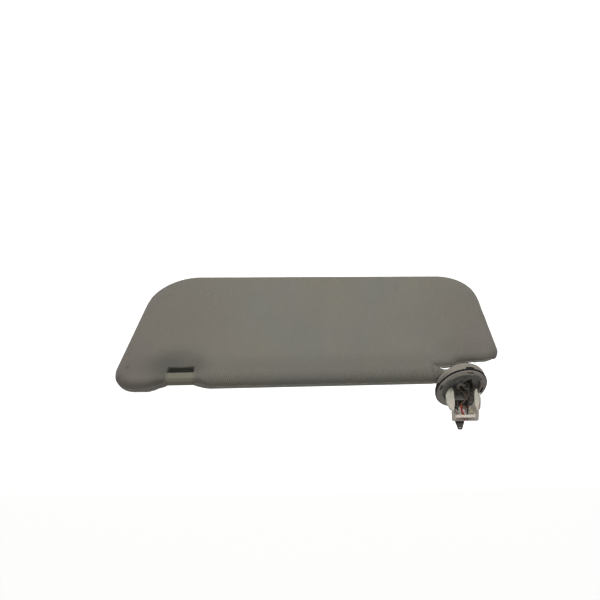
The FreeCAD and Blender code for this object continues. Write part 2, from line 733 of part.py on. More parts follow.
def mount_relief(inset):
    """A bevel on the mirror side of the notch, which clears the dome when stowed."""
    lean = math.atan2(EDGE_RADIUS, RELIEF_DEPTH)
    shift = RELIEF_START + inset / math.sin(lean)
    far = 4 * EDGE_RADIUS
    start = OUTER_FOOT_X - EDGE_RADIUS
    points = [
        (start, NOTCH_EDGE + shift - far, -far * math.tan(lean)),
        (start, NOTCH_EDGE + shift + far, far * math.tan(lean)),
        (start, NOTCH_EDGE + shift - far, far * math.tan(lean)),
    ]
    wedge = polygon(points).extrude(V(ROD_START + inset - start, 0, 0))
    return wedge.common(box(start, ROD_START + inset, -far, 3 * NOTCH_EDGE, 0, far))


def panel_body(inset):
    """The panel's whole form, shrunk evenly by an inset."""
    middle = V(MIRROR_X, OUTER_HEIGHT / 2, 0)
    inner_top = V(INNER_TOP_X, INNER_HEIGHT, 0)
    outer_top = V(OUTER_TOP_X, OUTER_HEIGHT, 0)
    lobe_foot = V(LOBE_FOOT_X, OUTLINE_FOOT, 0)
    outer_foot = V(OUTER_FOOT_X, NOTCH_EDGE, 0)
    body = flat_slab(PANEL_CORNERS, -inset)
    body = body.common(rod_profile(inset))
    free_half = FREE_HALF_THICKNESS
    body = body.common(bowed_side(inner_top, outer_top, middle, inset, free_half, free_half))
    body = body.common(bowed_side(lobe_foot, inner_top, middle, inset, EDGE_RADIUS, SIDE_BOW_RADIUS))
    body = body.common(bowed_side(outer_foot, outer_top, middle, inset, EDGE_RADIUS, SIDE_BOW_RADIUS))
    notch_end = V(ROD_START, NOTCH_EDGE, 0)
    mount_edge = bowed_side(outer_foot, notch_end, middle, inset, EDGE_RADIUS, SIDE_BOW_RADIUS)
    reach = 2 * INNER_HEIGHT
    inboard = box(ROD_START - NOTCH_CORNER, LOBE_FOOT_X, -reach, reach, -reach, reach)
    body = body.common(mount_edge.fuse(inboard))
    body = body.cut(pin_notch(inset)).cut(mount_relief(inset))
    for side in (-1, 1):
        height = EDGE_RADIUS - DIMPLE_DEPTH + DIMPLE_RADIUS
        scoop = Part.makeSphere(DIMPLE_RADIUS + inset, V(NOTCH_MIDDLE, PIN_HALF, side * height))
        body = body.cut(scoop)
    return body


def half_space(side):
    """All that lies on one side of the seam."""
    reach = 2 * EDGE_RADIUS
    low, high = (0, reach) if side > 0 else (-reach, 0)
    return box(OUTER_FOOT_X - reach, LOBE_FOOT_X + reach, -reach, INNER_HEIGHT + reach, low, high)


INNER_FACE = CLOTH + SOFT_GAP
CAVITY = INNER_FACE + SHELL_WALL


def tapered(shape):
    """Turns a piece drawn level so that it lies along the mirror side's face."""
    placed = shape.copy()
    placed.rotate(V(0, 0, 0), X_AXIS, -TAPER)
    return placed


# The mirror's frame, drawn level: z is the height over the rod axis

SEAT = EDGE_RADIUS + SOFT_GAP
FRAME_X0 = MIRROR_X - FRAME_WIDTH / 2
FRAME_X1 = MIRROR_X + FRAME_WIDTH / 2
FRAME_END = FRAME_TOP + FRAME_HEIGHT
FLOOR = SEAT + FRAME_PLATE
BOX_BOTTOM = SEAT - FRAME_BOX_DEPTH
COVER_LOW = FLOOR + MOVING_GAP
HINGE_Z = COVER_LOW + COVER_THICKNESS / 2
HINGE_Y = FRAME_TOP + FRAME_RIM + COVER_SIDE_GAP + HINGE_RADIUS
GLASS_TOP = FLOOR - GLASS_LIP / 2
GLASS_MIDDLE = (HINGE_Y + HINGE_RADIUS + MOVING_GAP + FRAME_END - FRAME_RIM) / 2
LAMP_SHIFT = FRAME_WIDTH / 2 - LENS_MARGIN - LENS_WIDTH / 2
GLASS_WIDTH = 2 * (LAMP_SHIFT - LENS_WIDTH / 2 - LENS_GAP)
BULB_Z = BOX_BOTTOM + FRAME_PLATE + BULB_RADIUS + MOVING_GAP
TAIL_LOW = BOX_BOTTOM - CONTACT_TAIL


def frame_box(grow, z0, z1):
    inset = FRAME_BOX_INSET - grow
    return rounded_plate(FRAME_X0 + inset, FRAME_X1 - inset, FRAME_TOP + inset, FRAME_END - inset,
                         FRAME_CORNER - inset, z0, z1)


def core_shell(side):
    """One moulded half of the core: a wall with ribs and the rod's bearing blocks."""
    outer = panel_body(INNER_FACE)
    hollow = panel_body(CAVITY)
    ribs = hollow.common(rib_grid()).cut(rib_clearance())
    outer_end = ROD_START + BUSHING_LENGTH + CAVITY
    inner_end = INNER_BUSHING_X + BUSHING_LENGTH
    for x0, x1 in ((ROD_START, outer_end), (INNER_BUSHING_X, inner_end)):
        hollow = hollow.cut(box(x0, x1, OUTLINE_FOOT, BLOCK_HEIGHT, -EDGE_RADIUS, EDGE_RADIUS))
    rod_room = rod(CAVITY + BUSHING_RADIUS, ROD_START, TUBE_END + LAMP_LEAD_RUN)
    shell = outer.cut(hollow).fuse(ribs.cut(rod_room))
    seat = BUSHING_RADIUS + RUNNING_FIT
    shell = shell.cut(rod(seat, ROD_START - OVERCUT, outer_end))
    shell = shell.cut(rod(TUBE_RADIUS + MOVING_GAP, ROD_START - OVERCUT, outer_end + CAVITY))
    shell = shell.cut(rod(seat, INNER_BUSHING_X - OVERCUT, inner_end + OVERCUT))
    shell = shell.cut(pin_pocket(MOVING_GAP))
    frame_room = frame_box(MOVING_GAP, BOX_BOTTOM - MOVING_GAP, SEAT + OVERCUT)
    return shell.common(half_space(side)).cut(tapered(frame_room))


def rib_clearance():
    """The middle of the panel, which the ribs stay out of."""
    half = EDGE_RADIUS - CAVITY - RIB_HEIGHT
    tip = half / math.tan(math.radians(TAPER))
    wedge = polygon([(0, OUTLINE_FOOT, half), (0, tip, 0), (0, OUTLINE_FOOT, -half)])
    wedge = wedge.extrude(V(LOBE_FOOT_X - OUTER_FOOT_X, 0, 0))
    wedge.translate(V(OUTER_FOOT_X, 0, 0))
    return wedge


def rib_grid():
    plates = []
    x = RIB_PITCH / 2
    while x < LOBE_FOOT_X:
        plates.append(box(x, x + RIB_THICKNESS, OUTLINE_FOOT, INNER_HEIGHT, -EDGE_RADIUS, EDGE_RADIUS))
        x += RIB_PITCH
    y = RIB_PITCH
    while y < INNER_HEIGHT:
        plates.append(box(OUTER_FOOT_X, LOBE_FOOT_X, y, y + RIB_THICKNESS, -EDGE_RADIUS, EDGE_RADIUS))
        y += RIB_PITCH
    return plates[0].multiFuse(plates[1:])


def panel_cloth(side):
    """One face's cloth, wrapped over the core to the seam at mid thickness."""
    skin = panel_body(0).cut(panel_body(CLOTH))
    skin = skin.common(half_space(side))
    skin = skin.cut(rod(BUSHING_RADIUS + MOVING_GAP, ROD_START - OVERCUT, ROD_START + 2 * CLOTH))
    skin = skin.cut(pin_pocket(MOVING_GAP))
    if side > 0:
        skin = skin.cut(tapered(frame_box(MOVING_GAP, BOX_BOTTOM, SEAT + OVERCUT)))
    return skin


# Support pin across the notch

def pin_section(half, bevel, x0, x1):
    """A bar with bevels along its rod-edge side."""
    points = [(x0, half, -half), (x0, half, half), (x0, bevel - half, half), (x0, -half, half - bevel),
              (x0, -half, bevel - half), (x0, bevel - half, -half)]
    return polygon(points).extrude(V(x1 - x0, 0, 0))


def pin_pocket(grow):
    """Room for the pin's anchors, on both sides of the notch."""
    half = PIN_ANCHOR_HALF + grow
    return box(NOTCH_X0 - PIN_ANCHOR - grow, NOTCH_X1 + PIN_ANCHOR + grow, -half, half, -half, half)


def support_pin():
    bar = pin_section(PIN_HALF, PIN_BEVEL, PIN_START, PIN_END)
    lines = [e for e in bar.Edges if abs(e.tangentAt(0).x) > 0.9 and e.BoundBox.YMin > 0]
    bar = bar.makeFillet(PIN_CORNER, lines)
    groove_start = PIN_START - PIN_GROOVE
    groove_end = PIN_END + PIN_GROOVE
    pin = bar.fuse(pin_section(PIN_HALF - PIN_GROOVE, PIN_BEVEL, groove_start, groove_end))
    for x0, x1 in ((NOTCH_X0 + SOFT_GAP, groove_start), (groove_end, NOTCH_X1 - SOFT_GAP)):
        pin = pin.fuse(pin_section(PIN_COLLAR_HALF, PIN_BEVEL, x0, x1))
    half = PIN_ANCHOR_HALF
    pin = pin.fuse(box(NOTCH_X0 - PIN_ANCHOR, PIN_START, -half, half, -half, half))
    pin = pin.fuse(box(PIN_END, NOTCH_X1 + PIN_ANCHOR, -half, half, -half, half))
    return pin.removeSplitter()


# Bearings and detent on the rod

def rod_bushing(x0):
    bore = rod(TUBE_RADIUS + RUNNING_FIT, x0 - OVERCUT, x0 + BUSHING_LENGTH + OVERCUT)
    return rod(BUSHING_RADIUS, x0, x0 + BUSHING_LENGTH).cut(bore)


def detent_spring():
    """A folded steel channel that grips the rod and sets the panel's friction."""
    inside = TUBE_RADIUS + MOVING_GAP
    outside = inside + SPRING_THICKNESS
    x0, x1 = SPRING_X, SPRING_X + SPRING_LENGTH
    channel = box(x0, x1, -SPRING_LEG, outside, -outside, outside)
    channel = channel.cut(box(x0 - OVERCUT, x1 + OVERCUT, -SPRING_LEG - OVERCUT, inside, -inside, inside))
    half_length = SPRING_WINDOW_LENGTH / 2
    half_width = SPRING_WINDOW_WIDTH / 2
    for k in range(SPRING_WINDOWS):
        x = x0 + SPRING_LENGTH * (k + 0.5) / SPRING_WINDOWS
        window = box(x - half_length, x + half_length, inside - OVERCUT, outside + OVERCUT,
                     -half_width, half_width)
        channel = channel.cut(window)
    return channel


# Mirror frame and what it holds

def mirror_frame():
    plate = rounded_plate(FRAME_X0, FRAME_X1, FRAME_TOP, FRAME_END, FRAME_CORNER, SEAT, SEAT + FRAME_RISE)
    inner = rounded_plate(FRAME_X0 + FRAME_RIM, FRAME_X1 - FRAME_RIM, FRAME_TOP + FRAME_RIM,
                          FRAME_END - FRAME_RIM, FRAME_CORNER - FRAME_RIM, FLOOR, SEAT + FRAME_RISE + OVERCUT)
    frame = plate.cut(inner).fuse(frame_box(0, BOX_BOTTOM, SEAT))
    trough = HINGE_RADIUS + MOVING_GAP
    frame = frame.cut(box(FRAME_X0 + FRAME_RIM, FRAME_X1 - FRAME_RIM, FRAME_TOP + FRAME_RIM,
                          HINGE_Y + trough, HINGE_Z - trough, SEAT + FRAME_RISE + OVERCUT))
    frame = frame.cut(glass_plate(RUNNING_FIT, GLASS_TOP - GLASS_THICKNESS, FLOOR + OVERCUT))
    half_x = GLASS_WIDTH / 2 - FRAME_PLATE
    half_y = GLASS_HEIGHT / 2 - FRAME_PLATE
    frame = frame.cut(box(MIRROR_X - half_x, MIRROR_X + half_x, GLASS_MIDDLE - half_y, GLASS_MIDDLE + half_y,
                          BOX_BOTTOM - OVERCUT, GLASS_TOP - GLASS_THICKNESS - FRAME_PLATE))
    for side in (-1, 1):
        x = MIRROR_X + side * LAMP_SHIFT
        frame = frame.cut(lens_plate(x, RUNNING_FIT, FLOOR - LENS_THICKNESS, FLOOR + OVERCUT))
        frame = frame.cut(lens_plate(x, -LENS_LIP, BOX_BOTTOM + FRAME_PLATE, FLOOR))
        for contact in contact_places():
            frame = frame.cut(contact_tail(x, contact, MOVING_GAP))
        frame = frame.cut(hinge_rod(side, HINGE_PIN_RADIUS + RUNNING_FIT, HINGE_BORE_INSET))
    half = COVER_LIP_WIDTH / 2 + 3 * COVER_SIDE_GAP
    finger = box(MIRROR_X - half, MIRROR_X + half, FRAME_END - FRAME_RIM - OVERCUT, FRAME_END + OVERCUT,
                 COVER_LOW, SEAT + FRAME_RISE + OVERCUT)
    return frame.cut(finger).removeSplitter()


def glass_plate(grow, z0, z1):
    half_x = GLASS_WIDTH / 2 + grow
    half_y = GLASS_HEIGHT / 2 + grow
    return rounded_plate(MIRROR_X - half_x, MIRROR_X + half_x, GLASS_MIDDLE - half_y, GLASS_MIDDLE + half_y,
                         GLASS_CORNER, z0, z1)


def lens_plate(x, grow, z0, z1):
    half_x = LENS_WIDTH / 2 + grow
    half_y = LENS_HEIGHT / 2 + grow
    return rounded_plate(x - half_x, x + half_x, GLASS_MIDDLE - half_y, GLASS_MIDDLE + half_y,
                         LENS_CORNER, z0, z1)


def lamp_lens(side):
    """A clear window with light-spreading ribs on its inside."""
    x = MIRROR_X + side * LAMP_SHIFT
    lens = lens_plate(x, 0, FLOOR - LENS_THICKNESS, FLOOR)
    ridge_z = FLOOR - LENS_THICKNESS
    half_y = LENS_HEIGHT / 2 - 2 * LENS_LIP
    pitch = LENS_WIDTH / (LENS_RIDGES + 2)
    for k in range(LENS_RIDGES):
        mid = x + (k - (LENS_RIDGES - 1) / 2) * pitch
        section = [(mid - RIDGE_HALF_WIDTH, 0, ridge_z), (mid + RIDGE_HALF_WIDTH, 0, ridge_z),
                   (mid, 0, ridge_z - RIDGE_DEPTH)]
        ridge = polygon(section).extrude(V(0, 2 * half_y, 0))
        ridge.translate(V(0, GLASS_MIDDLE - half_y, 0))
        lens = lens.fuse(ridge)
    return lens.removeSplitter()


def lamp_bulb(side):
    """A festoon bulb: a glass barrel between two metal caps."""
    bulb = cylinder(BULB_RADIUS - BULB_CAP_STEP, -BULB_LENGTH / 2, BULB_LENGTH / 2)
    for end in (-1, 1):
        z = end * (BULB_LENGTH / 2 - BULB_CAP / 2)
        bulb = bulb.fuse(cylinder(BULB_RADIUS, z - BULB_CAP / 2, z + BULB_CAP / 2))
    bulb.rotate(V(0, 0, 0), X_AXIS, 90)
    bulb.translate(V(MIRROR_X + side * LAMP_SHIFT, GLASS_MIDDLE, BULB_Z))
    return bulb


def contact_places():
    for end in (-1, 1):
        yield GLASS_MIDDLE + end * (BULB_LENGTH / 2 + CONTACT_THICKNESS / 2)


def contact_tail(x, y, grow):
    half_x = CONTACT_WIDTH / 2 + grow
    half_y = CONTACT_THICKNESS / 2 + grow
    top = BOX_BOTTOM + FRAME_PLATE
    return box(x - half_x, x + half_x, y - half_y, y + half_y, TAIL_LOW - grow, top + grow)


def lamp_contacts():
    strips = []
    for side in (-1, 1):
        x = MIRROR_X + side * LAMP_SHIFT
        for y in contact_places():
            blade = box(x - CONTACT_WIDTH / 2, x + CONTACT_WIDTH / 2, y - CONTACT_THICKNESS / 2,
                        y + CONTACT_THICKNESS / 2, BOX_BOTTOM + FRAME_PLATE, BULB_Z + BULB_RADIUS)
            strips.append(blade.fuse(contact_tail(x, y, 0)).removeSplitter())
    return Part.makeCompound(strips)


def mirror_cover():
    side_gap = FRAME_RIM + COVER_SIDE_GAP
    x0, x1 = FRAME_X0 + side_gap, FRAME_X1 - side_gap
    end = FRAME_END - side_gap
    cover = rounded_plate(x0, x1, HINGE_Y - FRAME_CORNER, end, FRAME_CORNER - FRAME_RIM, COVER_LOW,
                          COVER_LOW + COVER_THICKNESS)
    cover = cover.cut(box(x0 - OVERCUT, x1 + OVERCUT, HINGE_Y - FRAME_CORNER - OVERCUT, HINGE_Y,
                          FLOOR - OVERCUT, COVER_LOW + COVER_THICKNESS + OVERCUT))
    for start in (x0, x1 - KNUCKLE_LENGTH):
        cover = cover.fuse(rod(HINGE_RADIUS, start, start + KNUCKLE_LENGTH, HINGE_Y, HINGE_Z))
    spine = rod(COVER_THICKNESS / 2, x0 + KNUCKLE_LENGTH, x1 - KNUCKLE_LENGTH, HINGE_Y, HINGE_Z)
    cover = cover.fuse(spine)
    for side in (-1, 1):
        cover = cover.cut(hinge_rod(side, HINGE_PIN_RADIUS + RUNNING_FIT, HINGE_PIN_INSET + 2 * MOVING_GAP))
    half = COVER_LIP_WIDTH / 2
    lip = box(MIRROR_X - half, MIRROR_X + half, end - LAP, end + COVER_SIDE_GAP + COVER_LIP_REACH,
              COVER_LOW + COVER_THICKNESS / 2, COVER_LOW + COVER_THICKNESS)
    return cover.fuse(lip).removeSplitter()


def hinge_rod(side, radius, inset):
    """The hinge pin, or the bore for it, starting an inset inside the frame's end."""
    start = MIRROR_X + side * (FRAME_WIDTH / 2 - inset)
    end = start - side * HINGE_PIN_LENGTH
    return rod(radius, min(start, end), max(start, end), HINGE_Y, HINGE_Z)


def cover_spring():
    """A bowed leaf in the hinge trough that holds the cover open or shut."""
    low = HINGE_Z - HINGE_RADIUS - MOVING_GAP
    half = COVER_SPRING_LENGTH / 2
    thick = COVER_SPRING_THICKNESS
    outer = Part.Arc(V(-half, 0, thick), V(0, 0, SPRING_RISE + thick), V(half, 0, thick)).toShape()
    inner = Part.Arc(V(half, 0, 0), V(0, 0, SPRING_RISE), V(-half, 0, 0)).toShape()
    ends = [Part.LineSegment(V(half, 0, thick), V(half, 0, 0)).toShape(),
            Part.LineSegment(V(-half, 0, 0), V(-half, 0, thick)).toShape()]
    section = Part.Face(Part.Wire(Part.__sortEdges__([outer, ends[0], inner, ends[1]])))
    leaf = section.extrude(V(0, COVER_SPRING_WIDTH, 0))
    leaf.translate(V(MIRROR_X, HINGE_Y - COVER_SPRING_WIDTH / 2, low))
    return leaf


# Leads

TUBE_LEAD_END = TUBE_END + LEAD_EXIT


def arm_lead():
    """The sheathed lead through the hollow post, elbow and rod."""
    top = on_mount(Part.Vertex(0, 0, POST_TOP + LEAD_EXIT)).Point
    return cord([top, ELBOW, (TUBE_LEAD_END, 0, ELBOW.z)], LEAD_RADIUS, "arm_lead", LEAD_BEND)


def mount_lead(side, route, name):
    """A loop from the sheathed lead's end to the top of the connector housing."""
    offset = side * (WIRE_RADIUS + RUNNING_FIT)
    top = POST_TOP + LEAD_EXIT
    starts = [on_mount(Part.Vertex(offset, 0, z)).Point for z in (top, top + LEAD_RISE)]
    end = (route[-1][0], route[-1][1], HOUSING_HEIGHT)
    return cord(starts + route + [end], WIRE_RADIUS, name)


def flat_point(x, y, z):
    """A place drawn level over the mirror side, as seen in the flat panel."""
    return tapered(Part.Vertex(x, y, z)).Point


def lamp_lead(side, route):
    """From the end of the rod to the lamp's near contact."""
    x = MIRROR_X + side * LAMP_SHIFT
    level = TAIL_LOW + LAMP_LEAD_RADIUS
    near = GLASS_MIDDLE - BULB_LENGTH / 2 - CONTACT_THICKNESS
    ends = [flat_point(x, near - LAMP_LEAD_RUN, level), flat_point(x, near, level)]
    offset = -side * (LAMP_LEAD_RADIUS + RUNNING_FIT)
    starts = [(TUBE_LEAD_END, 0, offset), (TUBE_LEAD_END + 2 * LEAD_EXIT, 0, offset)]
    return cord(starts + route + ends, LAMP_LEAD_RADIUS, "lamp_lead")


TERMINAL_TOP = HOUSING_HEIGHT - TERMINAL_BURIED + TERMINAL_HEIGHT
TERMINAL_Y = CLIP_BACK - CLIP_WALL - HOUSING_DEPTH / 2
SLOT_Y = CLIP_BACK - CLIP_WALL - CLIP_SLOT / 2
WIRE_END = CLIP_HEIGHT + WIRE_REACH


def supply_wire(x, x_end, name):
    """From a terminal over to the slot in the clip's end, towards the car."""
    bends = [TERMINAL_TOP + rise for rise in SUPPLY_RISES]
    points = [
        (x, TERMINAL_Y, TERMINAL_TOP),
        (x, TERMINAL_Y, bends[0]),
        ((x + x_end) / 2, TERMINAL_Y + SUPPLY_LEAN, bends[1]),
        (x_end, SLOT_Y, bends[2]),
        (x_end, SLOT_Y, WIRE_END),
    ]
    return cord(points, WIRE_RADIUS, name)


def keep(name, shape):
    PARTS[name] = shape


# The root body, fixed to the roof
keep("bezel_dome", on_mount(bezel_dome()))
keep("rim_gasket", on_mount(rim_gasket()))
keep("base_carrier", on_mount(base_carrier()))
keep("thrust_washer", on_mount(thrust_washer()))
keep("spring_washer", on_mount(spring_washer()))
keep("snap_clip", snap_clip())
keep("connector_housing", connector_housing())
keep("connector_terminals", connector_terminals())
keep("locking_tongue", locking_tongue())
keep("bracket_tab", bracket_tab())
keep("supply_wire_red", supply_wire(TERMINAL_X + TERMINAL_PITCH / 2, RED_END_X, "supply_wire_red"))
keep("supply_wire_black", supply_wire(TERMINAL_X - TERMINAL_PITCH / 2, BLACK_END_X, "supply_wire_black"))
keep("wire_loop_black", mount_lead(-1, BLACK_LOOP, "wire_loop_black"))
keep("wire_loop_brown", mount_lead(1, BROWN_LOOP, "wire_loop_brown"))

# The arm, which swivels
keep("arm_elbow", on_mount(arm_elbow()))
keep("retaining_ring", on_mount(retaining_ring()))
keep("arm_tube", arm_tube())
keep("arm_lead", arm_lead())

# The panel, which tilts on the rod
keep("core_front", hang(core_shell(-1)))
keep("core_rear", hang(core_shell(1)))
keep("cloth_front", hang(panel_cloth(-1)))
keep("cloth_rear", hang(panel_cloth(1)))
keep("support_pin", hang(support_pin()))
keep("rod_bushing_outer", hang(rod_bushing(ROD_START + SOFT_GAP)))
keep("rod_bushing_inner", hang(rod_bushing(INNER_BUSHING_X)))
keep("detent_spring", hang(detent_spring()))
keep("mirror_frame", hang(mirror_frame(), TAPER))
keep("mirror_glass", hang(glass_plate(0, GLASS_TOP - GLASS_THICKNESS, GLASS_TOP), TAPER))
for label, side in (("inboard", 1), ("outboard", -1)):
    keep("lamp_lens_" + label, hang(lamp_lens(side), TAPER))
    keep("lamp_bulb_" + label, hang(lamp_bulb(side), TAPER))
    keep("cover_pin_" + label, hang(hinge_rod(side, HINGE_PIN_RADIUS, HINGE_PIN_INSET), TAPER))
keep("lamp_contacts", hang(lamp_contacts(), TAPER))
keep("lamp_lead_inboard", hang(lamp_lead(1, INBOARD_ROUTE)))
keep("lamp_lead_outboard", hang(lamp_lead(-1, OUTBOARD_ROUTE)))
keep("cover_spring", hang(cover_spring(), TAPER))

# The mirror's cover, which opens
keep("mirror_cover", hang(mirror_cover(), TAPER))

os.makedirs("parts", exist_ok=True)
for name, shape in PARTS.items():
    shape.exportStep("parts/" + name + ".step")
    extent = shape.BoundBox
    print(name, "valid", shape.isValid(), "solids", len(shape.Solids), "volume", round(shape.Volume, 1),
          [round(v, 1) for v in (extent.XMin, extent.XMax, extent.YMin, extent.YMax, extent.ZMin, extent.ZMax)])
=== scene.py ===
import math

import bmesh
import bpy
import numpy as np
from mathutils import Matrix, Vector


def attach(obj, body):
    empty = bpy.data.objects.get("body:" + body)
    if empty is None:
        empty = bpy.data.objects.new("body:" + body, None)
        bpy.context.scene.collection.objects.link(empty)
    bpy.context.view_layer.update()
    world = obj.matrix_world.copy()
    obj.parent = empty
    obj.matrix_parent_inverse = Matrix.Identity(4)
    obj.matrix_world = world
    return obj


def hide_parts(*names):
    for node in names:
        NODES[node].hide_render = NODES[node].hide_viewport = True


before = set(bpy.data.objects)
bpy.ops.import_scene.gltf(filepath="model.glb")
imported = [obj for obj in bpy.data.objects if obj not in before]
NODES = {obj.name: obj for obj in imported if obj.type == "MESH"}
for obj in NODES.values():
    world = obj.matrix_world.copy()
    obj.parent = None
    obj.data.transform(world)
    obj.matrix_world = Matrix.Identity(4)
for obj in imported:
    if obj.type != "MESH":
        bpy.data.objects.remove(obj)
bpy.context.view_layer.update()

# Car sun visor. Shapes are worked out in millimetres and placed in metres.
# Flat panel coordinates: x along the rod, v from the rod axis to the free edge,
# z through the thickness with the mirror side at +z.

MM = 0.001
ROD_Z = -22.0231
ROOF_TILT = math.radians(15.0)
MOUNT_TURN = Matrix.Rotation(-ROOF_TILT, 4, "Y")
bpy.context.scene.view_settings.view_transform = "Standard"


def placed(name, data):
    """A new object of the scene round its data."""
    obj = bpy.data.objects.new(name, data)
    bpy.context.scene.collection.objects.link(obj)
    return obj


def facing_out(mesh):
    """Turns the faces of a closed mesh outward."""
    work = bmesh.new()
    work.from_mesh(mesh)
    bmesh.ops.recalc_face_normals(work, faces=work.faces)
    work.to_mesh(mesh)
    work.free()


# Camera, light and floor

def add_camera():
    right = Vector((-0.99687986, 0.07087923, -0.03473732))
    up = Vector((-0.02457063, -0.69686287, -0.71678339))
    ahead = Vector((0.0750122, 0.71369341, -0.6964301))
    place = Vector((67.54523901, -1106.22478305, 936.27431184)) * MM
    data = bpy.data.cameras.new("camera")
    data.sensor_width = 36.0
    data.lens = 78.1915
    data.clip_start = 0.05
    data.clip_end = 30.0
    camera = placed("camera", data)
    turn = Matrix((right, up, -ahead)).transposed().to_4x4()
    camera.matrix_world = Matrix.Translation(place) @ turn
    bpy.context.scene.camera = camera


def add_area(name, place, target, size, power, colour=(1, 1, 1)):
    data = bpy.data.lights.new(name, "AREA")
    data.shape = "DISK"
    data.size = size
    data.energy = power
    data.color = colour
    lamp = placed(name, data)
    lamp.location = place
    lamp.rotation_mode = "QUATERNION"
    lamp.rotation_quaternion = (Vector(target) - Vector(place)).to_track_quat("-Z", "Y")


def seen_directly(nodes):
    """One where a ray comes from the camera, a mirror-like surface or through glass."""
    path = nodes.new("ShaderNodeLightPath")
    first = nodes.new("ShaderNodeMath")
    first.operation = "MAXIMUM"
    second = nodes.new("ShaderNodeMath")
    second.operation = "MAXIMUM"
    links = nodes.id_data.links
    links.new(path.outputs["Is Camera Ray"], first.inputs[0])
    links.new(path.outputs["Is Glossy Ray"], first.inputs[1])
    links.new(first.outputs[0], second.inputs[0])
    links.new(path.outputs["Is Transmission Ray"], second.inputs[1])
    return second.outputs[0]


AMBIENT = 0.3
LAMP_TARGET = (0.17, 0.0, -0.08)


def add_light():
    world = bpy.data.worlds.new("studio")
    bpy.context.scene.world = world
    world.use_nodes = True
    nodes, links = world.node_tree.nodes, world.node_tree.links
    nodes.clear()
    out = nodes.new("ShaderNodeOutputWorld")
    soft = nodes.new("ShaderNodeBackground")
    soft.inputs["Color"].default_value = (1.0, 0.985, 0.96, 1)
    soft.inputs["Strength"].default_value = AMBIENT
    white = nodes.new("ShaderNodeBackground")
    white.inputs["Strength"].default_value = 1.0
    mix = nodes.new("ShaderNodeMixShader")
    links.new(seen_directly(nodes), mix.inputs[0])
    links.new(soft.outputs[0], mix.inputs[1])
    links.new(white.outputs[0], mix.inputs[2])
    links.new(mix.outputs[0], out.inputs[0])
    add_area("key", (0.12, -1.95, -0.78), LAMP_TARGET, 0.8, 26.8, (1.0, 0.99, 0.965))
    add_area("rear", (0.15, 2.1, -0.3), LAMP_TARGET, 1.0, 22.0, (1.0, 0.99, 0.97))
    add_area("fill", (0.25, -1.1, 1.5), LAMP_TARGET, 1.0, 7.0, (1.0, 0.985, 0.96))


FLOOR_Z = -1.3
FLOOR_REACH = 9.0
FLOOR_CORNERS = ((-1, -1), (1, -1), (1, 1), (-1, 1))


def add_floor():
    mesh = bpy.data.meshes.new("floor")
    corners = [(x * FLOOR_REACH, y * FLOOR_REACH, FLOOR_Z) for x, y in FLOOR_CORNERS]
    mesh.from_pydata(corners, [], [(0, 1, 2, 3)])
    floor = placed("floor", mesh)
    material = bpy.data.materials.new("floor_white")
    material.use_nodes = True
    nodes, links = material.node_tree.nodes, material.node_tree.links
    nodes.clear()
    out = nodes.new("ShaderNodeOutputMaterial")
    matte = nodes.new("ShaderNodeBsdfDiffuse")
    matte.inputs["Color"].default_value = (0.62, 0.62, 0.62, 1)
    glow = nodes.new("ShaderNodeEmission")
    glow.inputs["Strength"].default_value = 0.78
    add = nodes.new("ShaderNodeAddShader")
    mix = nodes.new("ShaderNodeMixShader")
    links.new(matte.outputs[0], add.inputs[0])
    links.new(glow.outputs[0], add.inputs[1])
    links.new(seen_directly(nodes), mix.inputs[0])
    links.new(matte.outputs[0], mix.inputs[1])
    links.new(add.outputs[0], mix.inputs[2])
    links.new(mix.outputs[0], out.inputs[0])
    mesh.materials.append(material)


# Node helpers for materials

